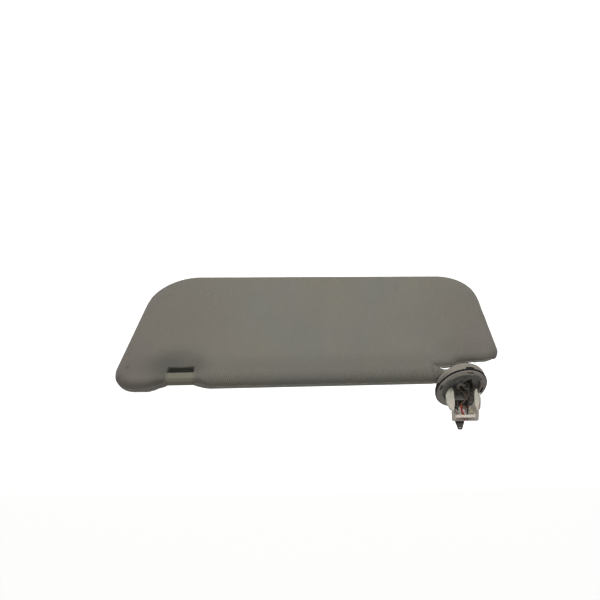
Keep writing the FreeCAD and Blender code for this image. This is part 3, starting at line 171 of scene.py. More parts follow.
class Shader:
    """A material under construction, with short calls for the nodes it uses."""

    def __init__(self, name):
        self.material = bpy.data.materials.new(name)
        self.material.use_nodes = True
        self.nodes = self.material.node_tree.nodes
        self.links = self.material.node_tree.links
        self.surface = self.nodes["Principled BSDF"]
        self.place = self.nodes.new("ShaderNodeTexCoord").outputs["Object"]

    def set(self, **values):
        for label, value in values.items():
            socket = self.surface.inputs[label.replace("_", " ")]
            if isinstance(value, bpy.types.NodeSocket):
                self.links.new(value, socket)
            elif isinstance(value, tuple):
                socket.default_value = (*value, 1.0)
            else:
                socket.default_value = value

    def plug(self, socket, value):
        if isinstance(value, bpy.types.NodeSocket):
            self.links.new(value, socket)
        elif isinstance(value, tuple) and len(value) == 3 and socket.type == "RGBA":
            socket.default_value = (*value, 1.0)
        else:
            socket.default_value = value

    def math(self, operation, a, b=0.0, clamp=False):
        node = self.nodes.new("ShaderNodeMath")
        node.operation = operation
        node.use_clamp = clamp
        self.plug(node.inputs[0], a)
        self.plug(node.inputs[1], b)
        return node.outputs[0]

    def scaled(self, scale, offset=(0, 0, 0), source=None):
        node = self.nodes.new("ShaderNodeMapping")
        self.links.new(source or self.place, node.inputs["Vector"])
        node.inputs["Scale"].default_value = scale if isinstance(scale, tuple) else (scale,) * 3
        node.inputs["Location"].default_value = offset
        return node.outputs[0]

    def noise(self, scale, detail=3.0, roughness=0.55, stretch=(1, 1, 1), warp=0.0):
        node = self.nodes.new("ShaderNodeTexNoise")
        self.links.new(self.scaled(stretch), node.inputs["Vector"])
        node.inputs["Scale"].default_value = scale
        node.inputs["Detail"].default_value = detail
        node.inputs["Roughness"].default_value = roughness
        node.inputs["Distortion"].default_value = warp
        return node.outputs["Fac"]

    def cells(self, scale, feature="F1", stretch=(1, 1, 1)):
        node = self.nodes.new("ShaderNodeTexVoronoi")
        node.feature = feature
        self.links.new(self.scaled(stretch), node.inputs["Vector"])
        node.inputs["Scale"].default_value = scale
        return node.outputs["Distance"]

    def band(self, value, low, high, out_low=0.0, out_high=1.0):
        node = self.nodes.new("ShaderNodeMapRange")
        node.interpolation_type = "SMOOTHSTEP"
        self.plug(node.inputs["Value"], value)
        node.inputs["From Min"].default_value = low
        node.inputs["From Max"].default_value = high
        node.inputs["To Min"].default_value = out_low
        node.inputs["To Max"].default_value = out_high
        return node.outputs[0]

    def mix(self, amount, a, b, blend="MIX"):
        node = self.nodes.new("ShaderNodeMix")
        node.data_type = "RGBA"
        node.blend_type = blend
        self.plug(node.inputs[0], amount)
        self.plug(node.inputs[6], a)
        self.plug(node.inputs[7], b)
        return node.outputs[2]

    def tint(self, colour, mask, strength, tone):
        """The colour drawn towards a tone where the mask is one."""
        return self.mix(self.math("MULTIPLY", mask, strength), colour, tone)

    def axis(self, which):
        node = self.nodes.new("ShaderNodeSeparateXYZ")
        self.links.new(self.place, node.inputs[0])
        return node.outputs[which]

    def near(self, point, inner, outer, stretch=(1, 1, 1)):
        """One at a point of the object, in millimetres, fading to nothing."""
        node = self.nodes.new("ShaderNodeVectorMath")
        node.operation = "DISTANCE"
        self.links.new(self.scaled(stretch), node.inputs[0])
        node.inputs[1].default_value = [p * MM * s for p, s in zip(point, stretch)]
        return self.band(node.outputs["Value"], inner * MM, outer * MM, 1.0, 0.0)

    def bump(self, height, depth, strength=1.0, below=None):
        node = self.nodes.new("ShaderNodeBump")
        node.inputs["Strength"].default_value = strength
        node.inputs["Distance"].default_value = depth * MM
        self.plug(node.inputs["Height"], height)
        if below is not None:
            self.links.new(below, node.inputs["Normal"])
        return node.outputs["Normal"]

    def soft_edges(self, radius):
        node = self.nodes.new("ShaderNodeBevel")
        node.samples = 4
        node.inputs["Radius"].default_value = radius * MM
        return node.outputs["Normal"]


# Materials: colours are linear, places are in millimetres of the frame

KNIT_PITCH = 2.5
# pale flecks of lint and one dark dot, on the face the photo shows
LINT = ((297.9, -6.3, -167.9), (303.2, -6.8, -153.2), (292.8, -6.9, -151.1),
        (266.3, -6.8, -151.5), (306.7, -7.2, -141.4))
DARK_DOT = (339.2, -6.9, -149.5)
DARK_SPOT = (376, -9.5, -33)
# the notch's own range of x and its top, in metres, where the cloth lies in shade
SLOT_LEFT = (0.3000, 0.3012)
SLOT_RIGHT = (0.3294, 0.3306)
SLOT_TOP = (-0.0362, -0.0352)


def fabric_material(name, side):
    """Fine knit: staggered stitches over the face, worked from the piece's own place."""
    s = Shader(name)
    turn = 2 * math.pi / (KNIT_PITCH * MM)
    along = s.math("MULTIPLY", s.axis(0), turn)
    across = s.math("ADD", s.axis(2), s.math("MULTIPLY", s.axis(1), float(side)))
    wobble = s.math("MULTIPLY", s.noise(260.0, 2.0), 1.5)
    rows = s.math("SINE", s.math("ADD", s.math("MULTIPLY", across, turn), wobble))
    columns = s.math("SINE", s.math("ADD", along, wobble))
    stitch = s.math("MULTIPLY", rows, columns)
    fuzz = s.noise(1500.0, 3.0, 0.7)
    patchy = s.noise(120.0, 3.0, 0.6)
    relief = s.math("ADD", s.math("MULTIPLY", stitch, s.band(patchy, 0.32, 0.68, 0.45, 1.0)),
                    s.math("MULTIPLY", fuzz, 0.7))
    broad = s.noise(9.0, 3.0, 0.5, (1.0, 1.0, 0.6))
    colour = s.mix(s.band(broad, 0.35, 0.68), (0.200, 0.186, 0.153), (0.188, 0.187, 0.164))
    streaks = s.noise(55.0, 3.0, 0.6, (1.0, 1.0, 0.22))
    colour = s.mix(s.band(streaks, 0.4, 0.66, 0.0, 0.5), colour, (0.178, 0.176, 0.153))
    colour = s.mix(s.band(stitch, -0.9, 0.5, 0.32, 0.0), colour, (0.125, 0.120, 0.100))
    # where the cloth is drawn tight its loops open: rod edge, hollow and mount's corner; painted shade
    # darkens the gaps between the loops and a painted highlight lightens their tops
    tight = s.math("MAXIMUM", s.band(s.axis(2), -0.055, -0.030), s.near((315, -5, -34), 18, 44))
    tight = s.math("MAXIMUM", tight, s.near((0, -8, -44), 14, 40))
    # painted shade in the gaps between the open loops
    loop_gap_shade = s.math("MULTIPLY", s.band(stitch, -0.75, 0.25, 0.5, 0.0), tight)
    colour = s.mix(loop_gap_shade, colour, (0.088, 0.084, 0.071))
    # painted highlight on the tops of the open loops
    loop_top_highlight = s.math("MULTIPLY", s.band(stitch, 0.25, 0.9, 0.0, 0.4), tight)
    colour = s.mix(loop_top_highlight, colour, (0.265, 0.255, 0.220))
    speck = s.math("MULTIPLY", s.band(s.cells(620.0), 0.25, 0.6), tight)
    colour = s.tint(colour, speck, 0.34, (0.105, 0.101, 0.086))
    lint = s.band(s.noise(700.0, 2.0, 0.6), 0.58, 0.74, 0.0, 0.3)
    colour = s.mix(lint, colour, (0.235, 0.228, 0.200))
    # darker and warmer at both ends: painted shade; a dark purple-brown cloud on the lobe; painted
    # shade at the lip by the mount; warmer and darker at the foot
    sides = s.math("MAXIMUM", s.near((400, -8, -100), 50, 190), s.near((-40, -8, -100), 20, 120))
    colour = s.tint(colour, sides, 0.9, (0.166, 0.155, 0.134))
    cloudy = s.band(s.noise(34.0, 4.0, 0.6), 0.36, 0.66, 0.35, 1.0)
    lobe = s.math("MULTIPLY", s.near((392, -8, -40), 8, 62), cloudy)
    colour = s.tint(colour, lobe, 0.75, (0.138, 0.110, 0.103))
    # painted shade at the lip beside the mount, where the edge rounds away
    colour = s.tint(colour, s.near((-16, -8, -42), 6, 34), 0.42, (0.140, 0.131, 0.114))
    colour = s.tint(colour, s.near((-38, -8, -70), 4, 46), 0.35, (0.165, 0.143, 0.128))
    # shade in the hollow over the pin and inside the notch
    flat = (0.75, 1, 1)
    beside = s.math("MULTIPLY", s.near((304, -5, -34), 4, 24, flat), 0.8)
    hollow = s.math("MAXIMUM", s.near((329, -5, -34), 7, 34, flat), beside)
    colour = s.tint(colour, hollow, 0.72, (0.088, 0.085, 0.075))
    inside = s.math("MULTIPLY", s.band(s.axis(0), *SLOT_LEFT),
                    s.band(s.axis(0), *SLOT_RIGHT, 1.0, 0.0))
    inside = s.math("MULTIPLY", inside, s.band(s.axis(2), *SLOT_TOP))
    colour = s.tint(colour, inside, 0.92, (0.030, 0.031, 0.027))
    if side < 0:
        spot = s.math("MAXIMUM", s.near(DARK_SPOT, 0.5, 4.2), s.near(DARK_DOT, 0.6, 1.5))
        colour = s.tint(colour, spot, 0.55, (0.06, 0.05, 0.042))
        for fleck in LINT:
            colour = s.tint(colour, s.near(fleck, 0.35, 0.95), 0.5, (0.42, 0.41, 0.38))
        cloudy = s.band(s.noise(60.0, 4.0, 0.6, (1, 1, 0.3)), 0.42, 0.62)
        cool = s.math("MULTIPLY", s.near((215, -8, -95), 10, 90), cloudy)
        colour = s.tint(colour, cool, 0.35, (0.165, 0.180, 0.168))
    s.set(Base_Color=colour, Roughness=0.92, Sheen_Weight=0.22, Sheen_Roughness=0.55)
    s.set(Normal=s.bump(relief, 0.16, 0.85), Specular_IOR_Level=0.22)
    return s.material


def seam_material():
    s = Shader("seam_edge")
    thread = s.noise(900.0, 2.0, 0.6, (1, 3, 3))
    colour = s.mix(s.band(thread, 0.35, 0.65), (0.19, 0.182, 0.155), (0.36, 0.345, 0.305))
    s.set(Base_Color=colour, Roughness=0.8, Sheen_Weight=0.2, Normal=s.bump(thread, 0.1, 0.6))
    return s.material


def brighter(colour, factor, lift=0.0):
    return tuple(min(1.0, c * factor + lift) for c in colour)


def plastic(name, colour, dark, grain=0.05, grain_scale=1400.0, roughness=0.5, tint=None,
            specular=0.4):
    """Moulded plastic: fine spark-eroded grain, faint sink marks and soft edges."""
    s = Shader(name)
    fine = s.noise(grain_scale, 2.0, 0.6)
    broad = s.noise(70.0, 4.0, 0.6)
    base = s.mix(s.band(broad, 0.3, 0.72), dark, colour)
    base = s.mix(s.band(fine, 0.55, 0.8, 0.0, 0.22), base, brighter(colour, 1.35))
    if tint:
        base = s.mix(s.band(s.noise(38.0, 3.0, 0.6), 0.5, 0.72, 0.0, 0.7), base, tint)
    s.set(Base_Color=base, Roughness=s.band(broad, 0.2, 0.8, roughness - 0.06, roughness + 0.1))
    s.set(Normal=s.bump(fine, grain, 0.5, s.soft_edges(0.35)), Specular_IOR_Level=specular)
    return s.material


def metal(name, colour, roughness=0.35, brushed=(1, 1, 1)):
    s = Shader(name)
    grain = s.noise(900.0, 3.0, 0.6, brushed)
    stain = s.noise(60.0, 4.0, 0.6)
    base = s.mix(s.band(stain, 0.45, 0.75, 0.0, 0.5), colour, brighter(colour, 0.62))
    worn = s.band(grain, 0.3, 0.7, roughness - 0.1, roughness + 0.12)
    s.set(Base_Color=base, Metallic=1.0, Roughness=worn)
    s.set(Normal=s.bump(grain, 0.02, 0.4, s.soft_edges(0.15)))
    return s.material


def rubber(name, colour, roughness=0.6, specular=0.4):
    s = Shader(name)
    dust = s.noise(240.0, 4.0, 0.65)
    base = s.mix(s.band(dust, 0.5, 0.78, 0.0, 0.4), colour, brighter(colour, 1.6, 0.02))
    s.set(Base_Color=base, Roughness=s.band(dust, 0.3, 0.7, roughness, roughness + 0.15))
    s.set(Normal=s.bump(dust, 0.03, 0.4), Specular_IOR_Level=specular)
    return s.material


def clear_material(name, roughness, tint):
    s = Shader(name)
    haze = s.noise(300.0, 3.0, 0.6)
    s.set(Base_Color=tint, Roughness=s.band(haze, 0.3, 0.7, roughness, roughness + 0.12))
    s.set(Transmission_Weight=0.85, IOR=1.49, Normal=s.bump(haze, 0.01, 0.2))
    return s.material


def mirror_material():
    s = Shader("mirror_silver")
    haze = s.noise(130.0, 4.0, 0.6)
    silver = s.mix(s.band(haze, 0.5, 0.8, 0.0, 0.25), (0.86, 0.88, 0.87), (0.7, 0.72, 0.71))
    s.set(Base_Color=silver)
    s.set(Metallic=1.0, Roughness=s.band(haze, 0.4, 0.8, 0.02, 0.07))
    return s.material


CUP_RADIUS = 22.3
MARKER_DABS = ((11.4, -14.0, 1.5), (15.2, -13.6, 2.5), (23.9, 3.7, 4.9))


def base_material():
    """Base carrier: pale flange with painted light on its front (-y) side, greyer recess, and three
    dabs of blue marker.
    """
    s = Shader("base_plastic")
    fine = s.noise(1300.0, 2.0, 0.6)
    broad = s.noise(75.0, 4.0, 0.6)
    pale = s.mix(s.band(broad, 0.35, 0.7), (0.205, 0.194, 0.176), (0.250, 0.236, 0.213))
    # painted light: the flange drawn paler on its front (-y) side, which faces the key lamp
    pale = s.mix(s.band(s.axis(1), -0.025, -0.008, 0.8, 0.0), pale, (0.37, 0.345, 0.305))
    deep = s.mix(s.band(broad, 0.35, 0.7), (0.150, 0.155, 0.138), (0.205, 0.200, 0.182))
    colour = s.mix(s.near((0, 0, 0), CUP_RADIUS, CUP_RADIUS + 0.7), pale, deep)
    colour = s.tint(colour, s.near((-23, 2, -5), 2, 9), 0.4, (0.20, 0.13, 0.11))
    for place in MARKER_DABS:
        colour = s.tint(colour, s.near(place, 0.7, 1.5), 0.8, (0.045, 0.055, 0.16))
    s.set(Base_Color=colour, Roughness=s.band(broad, 0.2, 0.8, 0.5, 0.66))
    s.set(Normal=s.bump(fine, 0.05, 0.5, s.soft_edges(0.35)), Specular_IOR_Level=0.35)
    return s.material


def let_light_in(material):
    """A little light under the surface, as thin nylon shows."""
    inputs = material.node_tree.nodes["Principled BSDF"].inputs
    inputs["Subsurface Weight"].default_value = 0.25
    inputs["Subsurface Radius"].default_value = (1, 0.8, 0.6)
    inputs["Subsurface Scale"].default_value = 1.5 * MM


def wing_material():
    """Natural nylon that lets light through: greenish at the tips, pinker where it is thick."""
    s = Shader("wing_nylon")
    cloudy = s.noise(180.0, 3.0, 0.6)
    colour = s.mix(s.band(s.axis(2), 0.018, 0.031), (0.345, 0.350, 0.278), (0.445, 0.395, 0.345))
    colour = s.mix(s.band(cloudy, 0.35, 0.75, 0.0, 0.5), colour, (0.27, 0.262, 0.215))
    s.set(Base_Color=colour, Roughness=0.42, Normal=s.bump(cloudy, 0.05, 0.4, s.soft_edges(0.4)))
    let_light_in(s.material)
    return s.material


def dress(node, material):
    """Gives a carried-over CAD node its material."""
    obj = NODES[node]
    obj.data.materials.clear()
    obj.data.materials.append(material)


def dress_nodes():
    dome = plastic("dome_plastic", (0.255, 0.232, 0.198), (0.228, 0.208, 0.177),
                   tint=(0.24, 0.205, 0.182), roughness=0.62, specular=0.3)
    base = base_material()
    nylon = plastic("natural_nylon", (0.52, 0.44, 0.30), (0.44, 0.37, 0.24), grain=0.02,
                    roughness=0.4)
    white = plastic("clip_nylon", (0.60, 0.56, 0.50), (0.52, 0.475, 0.42), grain=0.03,
                    tint=(0.56, 0.49, 0.44), roughness=0.42)
    let_light_in(white)
    dark = plastic("dark_plastic", (0.062, 0.056, 0.046), (0.042, 0.038, 0.032), roughness=0.42)
    pin = plastic("pin_plastic", (0.156, 0.147, 0.112), (0.140, 0.133, 0.102),
                  tint=(0.14, 0.13, 0.108), roughness=0.55, specular=0.3)
    trim = plastic("trim_plastic", (0.215, 0.203, 0.175), (0.195, 0.184, 0.158), grain=0.09,
                   grain_scale=900.0, roughness=0.6, specular=0.32)
    tab = plastic("tab_plastic", (0.028, 0.024, 0.021), (0.020, 0.017, 0.015), roughness=0.5,
                  specular=0.25)
    core = plastic("core_plastic", (0.085, 0.083, 0.078), (0.065, 0.063, 0.06), roughness=0.5)
    spring = metal("spring_steel", (0.42, 0.42, 0.43))
    steel = metal("plated_steel", (0.50, 0.50, 0.49), 0.3, (0.15, 1, 1))
    copper = metal("terminal_copper", (0.17, 0.036, 0.014), 0.6)
    black = rubber("black_rubber", (0.007, 0.007, 0.007), 0.7, 0.2)
    red = rubber("red_insulation", (0.36, 0.012, 0.022), 0.4)
    wire_black = rubber("black_insulation", (0.016, 0.016, 0.019), 0.45)
    brown = rubber("brown_insulation", (0.075, 0.048, 0.032), 0.45)
    lens = clear_material("lens_clear", 0.12, (0.93, 0.93, 0.90))
    bulb = clear_material("bulb_glass", 0.02, (0.97, 0.97, 0.95))
    wing = wing_material()
    table = {
        dome: ["bezel_dome", "arm_elbow"],
        base: ["base_carrier"],
        nylon: ["thrust_washer", "locking_tongue", "rod_bushing_outer", "rod_bushing_inner"],
        white: ["snap_clip"],
        dark: ["connector_housing"],
        tab: ["bracket_tab"],
        pin: ["support_pin"],
        trim: ["mirror_frame", "mirror_cover"],
        core: ["core_front", "core_rear"],
        spring: ["spring_washer", "retaining_ring", "detent_spring", "cover_spring"],
        steel: ["arm_tube", "cover_pin_inboard", "cover_pin_outboard"],
        copper: ["connector_terminals", "lamp_contacts"],
        black: ["rim_gasket"],
        red: ["supply_wire_red"],
        wire_black: ["supply_wire_black", "wire_loop_black", "arm_lead", "lamp_lead_inboard",
                     "lamp_lead_outboard"],
        brown: ["wire_loop_brown"],
        lens: ["lamp_lens_inboard", "lamp_lens_outboard"],
        bulb: ["lamp_bulb_inboard", "lamp_bulb_outboard"],
        mirror_material(): ["mirror_glass"],
    }
    for material, names in table.items():
        for name in names:
            dress(name, material)
    return {"dome": dome, "white": white, "wing": wing, "black": black, "brown": brown,
            "wire_black": wire_black}


# Fabric panel

HALF_THICK = 10.7
HALF_THIN = 5.5
FREE_EDGE = 162.2
TAPER = math.atan((HALF_THICK - HALF_THIN) / FREE_EDGE)
NOTCH_MIDDLE = (315.5, 5.9)
DISH_DEPTH = 5.2
DISH_CURVE = 85.0
DISH_BLEND = 0.9
# corner x, v, corner radius, and how round the edge after it is, against the thickness
OUTLINE = [
    (27.8, -10.6, 3.0, 1.0),
    (282.0, -11.5, 8.0, 0.34),
    (293.0, -7.2, 7.0, 0.3),
    (300.2, -5.6, 2.0, 0.3),
    (299.6, 13.0, 5.0, 0.26),
    (331.6, 13.0, 8.0, 0.26),
    (330.4, -5.6, 2.0, 0.3),
    (338.0, -7.2, 7.0, 0.34),
    (353.0, -13.1, 24.0, 0.6),
    (396.6, -13.4, 22.5, 0.82),
    (356.9, 162.4, 62.0, 0.7),
    (-17.9, 150.9, 50.0, 0.85),
    (-46.9, 14.8, 18.5, 0.75),
    (-12.0, 13.4, 9.0, 0.85),
    (2.0, 11.8, 5.0, 0.85),
    (9.0, 5.2, 4.0, 0.9),
    (20.0, 4.4, 4.0, 0.7),
    (27.8, 6.3, 2.0, 0.3),
]


def outline_path(step=1.2):
    """The outline's points and each run's roundness."""
    points = []
    rounds = []
    count = len(OUTLINE)
    for i, (x, y, radius, after) in enumerate(OUTLINE):
        here = np.array([x, y])
        back = np.array(OUTLINE[i - 1][:2]) - here
        ahead = np.array(OUTLINE[(i + 1) % count][:2]) - here
        back /= np.linalg.norm(back)
        ahead /= np.linalg.norm(ahead)
        half = math.acos(float(np.clip(back @ ahead, -1, 1))) / 2
        middle = (back + ahead) / np.linalg.norm(back + ahead)
        centre = here + middle * radius / math.sin(half)
        start = here + back * radius / math.tan(half) - centre
        end = here + ahead * radius / math.tan(half) - centre
        swing = math.atan2(start[0] * end[1] - start[1] * end[0], float(start @ end))
        steps = max(2, math.ceil(abs(swing) * radius / step))
        for k in range(steps + 1):
            c, s = math.cos(swing * k / steps), math.sin(swing * k / steps)
            spoke = np.array([start[0] * c - start[1] * s, start[0] * s + start[1] * c])
            points.append(centre + spoke)
            rounds.append((OUTLINE[i - 1][3] + after) / 2 if k < steps else after)
    return np.array(points), np.array(rounds)


PATH, ROUNDS = outline_path()
RUN_START = PATH
RUN_END = np.roll(PATH, -1, axis=0)


def measure(points):
    """Signed depth inside the outline, the way in, and the local roundness."""
    along = RUN_END - RUN_START
    length2 = (along ** 2).sum(1)
    length = np.sqrt(length2)
    normal = np.stack([-along[:, 1], along[:, 0]], 1) / length[:, None]
    depth = np.empty(len(points))
    inward = np.empty((len(points), 2))
    rounds = np.empty(len(points))
    for part in np.array_split(np.arange(len(points)), max(1, len(points) // 4000)):
        p = points[part]
        rel = p[:, None, :] - RUN_START[None]
        t = np.clip((rel * along).sum(2) / length2, 0, 1)
        off = rel - t[..., None] * along
        d2 = (off ** 2).sum(2)
        best = d2.argmin(1)
        d = np.sqrt(d2[np.arange(len(p)), best])
        crosses = (RUN_START[None, :, 1] > p[:, None, 1]) != (RUN_END[None, :, 1] > p[:, None, 1])
        slope = (p[:, None, 1] - RUN_START[None, :, 1]) / np.where(along[:, 1] == 0, 1e-9, along[:, 1])
        crosses &= p[:, None, 0] < RUN_START[None, :, 0] + slope * along[:, 0]
        inside = crosses.sum(1) % 2 == 1
        sign = np.where(inside, 1.0, -1.0)
        way = off[np.arange(len(p)), best] / np.maximum(d, 1e-9)[:, None] * sign[:, None]
        close = d < 0.02
        way[close] = normal[best[close]]
        weight = length / (d2 + 1.0) ** 1.5
        depth[part] = d * sign
        inward[part] = way
        rounds[part] = (weight * ROUNDS).sum(1) / weight.sum(1)
    return depth, inward, rounds


def half_thickness(x, v, z, depth):
    """How far the face lies from the middle plane."""
    thick = HALF_THICK - np.clip(v, 0, 200) * math.tan(TAPER)
    r = np.hypot(x - NOTCH_MIDDLE[0], v - NOTCH_MIDDLE[1])
    dish = DISH_DEPTH - (DISH_CURVE - np.sqrt(np.maximum(DISH_CURVE ** 2 - r ** 2, 0)))
    thick = thick - DISH_BLEND * np.log1p(np.exp(np.clip(dish / DISH_BLEND, -30, 30)))
    front = z < 0
    crown = 0.35 * (1 - np.exp(-np.maximum(depth, 0) / 22.0))
    drift = 0.10 * np.sin(x / 21.0 + 1.3 * np.sin(v / 27.0)) + 0.07 * np.sin(v / 15.0 + x / 47.0)
    thick = thick + np.where(front, crown + drift, -0.05)
    # pinches that fan out from the support pin's opening
    fan = np.arctan2(v + 2.0, x - NOTCH_MIDDLE[0])
    reach = np.exp(-(np.maximum(r - 17.0, 0) / 9.0) ** 2)
    thick = thick + 0.16 * reach * np.sin(17 * fan + 1.5 * np.sin(3 * fan))
    # gathers along the edge that faces the mount
    window = np.exp(-((x - 4.0) / 17.0) ** 2)
    window = window * np.exp(-(np.maximum(v - 17.0, 0) / 7.0) ** 2) * (x < 30)
    thick = thick + 0.45 * window * np.sin(x / 0.85 + 0.8 * np.sin(x / 2.3))
    return thick


def settle(points, rounds_of_push):
    """Moves points onto the panel's rounded form."""
    p = points.copy()
    for _ in range(rounds_of_push):
        depth, inward, rounds = measure(p[:, :2])
        thick = half_thickness(p[:, 0], p[:, 1], p[:, 2], depth)
        radius = np.minimum(rounds, 1.0) * thick
        a = np.maximum(radius - depth, 0) / radius
        b = p[:, 2] / thick
        s = np.maximum(np.hypot(a, b), 1e-6)
        f = s - 1.0
        g_depth = -(a / s) / radius
        g_z = (b / s) / thick
        size = np.maximum(g_depth ** 2 + g_z ** 2, 1e-9)
        step = np.clip(f / size, -30, 30)
        p[:, :2] -= (step * g_depth)[:, None] * inward
        p[:, 2] -= step * g_z
    return p


def smooth(points, edges, times, keep=0.5):
    """Evens out the mesh: each point moves towards the middle of its neighbours."""
    p = points
    count = np.zeros(len(p))
    np.add.at(count, edges[:, 0], 1)
    np.add.at(count, edges[:, 1], 1)
    for _ in range(times):
        total = np.zeros_like(p)
        np.add.at(total, edges[:, 0], p[edges[:, 1]])
        np.add.at(total, edges[:, 1], p[edges[:, 0]])
        p = keep * p + (1 - keep) * total / count[:, None]
    return p


VOXEL = 1.9
START_HALF = 6.0
ARM_CLEAR = 6.4
RELIEF_EDGE = 22.6
RELIEF_SLOPE = HALF_THICK / 9.0


def ledge(v):
    """How high the cloth's edge may lie beside the dome."""
    return np.where(v < ARM_CLEAR, -6.2, np.clip(v - 21.0, -4.4, 0.4))


def beside_dome(x, v):
    """Whether a point of the panel lies where the dome needs room."""
    return ((x < 30.5) & (v > 6.0)) | ((x < 26.5) & (v > 2.0))


def panel_mesh():
    """A closed, evenly meshed panel in flat coordinates."""
    count = len(PATH)
    verts = [(x, v, z) for z in (-START_HALF, START_HALF) for x, v in PATH]
    faces = [tuple(range(count - 1, -1, -1)), tuple(range(count, 2 * count))]
    faces += [(i, (i + 1) % count, count + (i + 1) % count, count + i) for i in range(count)]
    mesh = bpy.data.meshes.new("panel_start")
    mesh.from_pydata(verts, [], faces)
    start = placed("panel_start", mesh)
    remesh = start.modifiers.new("even", "REMESH")
    remesh.mode = "VOXEL"
    remesh.voxel_size = VOXEL
    graph = bpy.context.evaluated_depsgraph_get()
    even = bpy.data.meshes.new_from_object(start.evaluated_get(graph))
    bpy.data.objects.remove(start)
    points = np.empty(len(even.vertices) * 3)
    even.vertices.foreach_get("co", points)
    points = points.reshape(-1, 3)
    edges = np.empty(len(even.edges) * 2, dtype=np.int64)
    even.edges.foreach_get("vertices", edges)
    edges = edges.reshape(-1, 2)
    points = settle(points, 5)
    points = smooth(points, edges, 6)
    points = settle(points, 3)
    points = smooth(points, edges, 1, 0.7)
    # the bevel on the mirror side that clears the dome
    x, v, z = points.T
    limit = np.maximum((v - RELIEF_EDGE) * RELIEF_SLOPE + 0.3, ledge(v))
    points[:, 2] = np.where(beside_dome(x, v), np.minimum(z, limit), z)
    even.vertices.foreach_set("co", points.ravel())
    even.update()
    return even


def to_place(mesh):
    """From flat millimetres to the hanging panel in metres."""
    hang = Matrix(((MM, 0, 0, 0), (0, 0, MM, 0), (0, -MM, 0, ROD_Z * MM), (0, 0, 0, 1)))
    mesh.transform(hang)


FRAME_X = (97.0, 247.0)
FRAME_V = (36.0, 128.0)
FRAME_LAP = 5.0


def half_panel(source, name, side, material):
    """One face's cloth, cut from the closed panel at the seam."""
    work = bmesh.new()
    work.from_mesh(source)
    geometry = work.verts[:] + work.edges[:] + work.faces[:]
    bmesh.ops.bisect_plane(work, geom=geometry, dist=0.05, plane_co=(0, 0, 0),
                           plane_no=(0, 0, -side), clear_outer=True)

    def under_frame(middle):
        return (side > 0 and middle.z > 2
                and FRAME_X[0] + FRAME_LAP < middle.x < FRAME_X[1] - FRAME_LAP
                and FRAME_V[0] + FRAME_LAP < middle.y < FRAME_V[1] - FRAME_LAP)

    def round_arm(middle):
        return middle.x < 30.0 and math.hypot(middle.y, middle.z) < ARM_CLEAR

    for open_here in (under_frame, round_arm):
        away = [f for f in work.faces if open_here(f.calc_center_median())]
        bmesh.ops.delete(work, geom=away, context="FACES")
    mesh = bpy.data.meshes.new(name)
    bmesh.ops.recalc_face_normals(work, faces=work.faces)
    work.to_mesh(mesh)
    work.free()
    to_place(mesh)
    for polygon in mesh.polygons:
        polygon.use_smooth = True
    mesh.materials.append(material)
    piece = placed(name, mesh)
    shell = piece.modifiers.new("thickness", "SOLIDIFY")
    shell.thickness = 1.0 * MM
    shell.offset = -1.0
    return piece


def tube_mesh(name, points, radii, sides=8, closed=False):
    """A tube round a line of points, in metres."""
    pts = [Vector(p) for p in points]
    count = len(pts)
    verts = []
    side_way = None
    for i, p in enumerate(pts):
        before = pts[i - 1] if i or closed else pts[0]
        after = pts[(i + 1) % count] if i < count - 1 or closed else pts[-1]
        along = (after - before).normalized()
        if side_way is None:
            side_way = along.orthogonal().normalized()
        side_way = (side_way - along * side_way.dot(along)).normalized()
        other = along.cross(side_way)
        for k in range(sides):
            angle = 2 * math.pi * k / sides
            verts.append(p + (side_way * math.cos(angle) + other * math.sin(angle)) * radii[i])
    faces = []
    for i in range(count if closed else count - 1):
        j = (i + 1) % count
        for k in range(sides):
            m = (k + 1) % sides
            faces.append((i * sides + k, i * sides + m, j * sides + m, j * sides + k))
    if not closed:
        faces.append(tuple(range(sides - 1, -1, -1)))
        faces.append(tuple(range((count - 1) * sides, count * sides)))
    mesh = bpy.data.meshes.new(name)
    mesh.from_pydata(verts, [], faces)
    for polygon in mesh.polygons:
        polygon.use_smooth = True
    return mesh


SEAM_STEP = 1.6
SEAM_START = 29.0


def add_seam(material):
    """The welded edge where the two faces' cloths meet."""
    points = []
    radii = []
    dense = []
    for a, b in zip(PATH, PATH[1:]):
        steps = max(1, int(np.linalg.norm(b - a) / SEAM_STEP))
        dense += [a + (b - a) * k / steps for k in range(steps)]
    dense.append(PATH[-1])
    dense = np.array(dense)
    # it starts past the arm, leaves the arm's opening free and lies deeper in the slot
    first = int(np.argmax((dense[:, 0] > SEAM_START) & (dense[:, 1] < 0)))
    dense = np.concatenate([dense[first:], dense[:first]])
    x, v = dense.T
    dense = dense[~((x < SEAM_START) & (x > SEAM_START - 2.0) & (v < 7.0))]
    x, v = dense.T
    in_slot = (x > 300.0) & (x < 331.0) & (v > 9.0)
    dense[in_slot, 1] += 1.3
    travel = 0.0
    for i, (x, v) in enumerate(dense):
        if i:
            travel += float(np.linalg.norm(dense[i] - dense[i - 1]))
        lift = 0.32 * math.sin(travel / 5.1) + 0.22 * math.sin(travel / 2.3 + 1.0)
        if beside_dome(x, v):
            lift += min(0.0, float(ledge(v))) - 0.3
        points.append((x * MM, lift * MM, (ROD_Z - v) * MM))
        radii.append((0.32 + 0.10 * math.sin(travel / 3.7)) * MM)
    mesh = tube_mesh("cloth_seam", points, radii, 8)
    mesh.materials.append(material)
    return placed("cloth_seam", mesh)


def ring_faces(steps, count):
    """Faces of a closed profile's points carried all the way round."""
    faces = []
    for k in range(steps):
        m = (k + 1) % steps
        for i in range(count):
            j = (i + 1) % count
            faces.append((k * count + i, m * count + i, m * count + j, k * count + j))
    return faces


# the cloth drawn in round the arm: x, radius about the rod's axis
COLLAR = ((18.8, 5.85), (20.4, 6.2), (22.2, 6.9), (24.2, 8.1), (26.0, 9.3), (27.8, 10.3),
          (29.5, 10.3))
COLLAR_BORE = 5.75
COLLAR_STEPS = 96


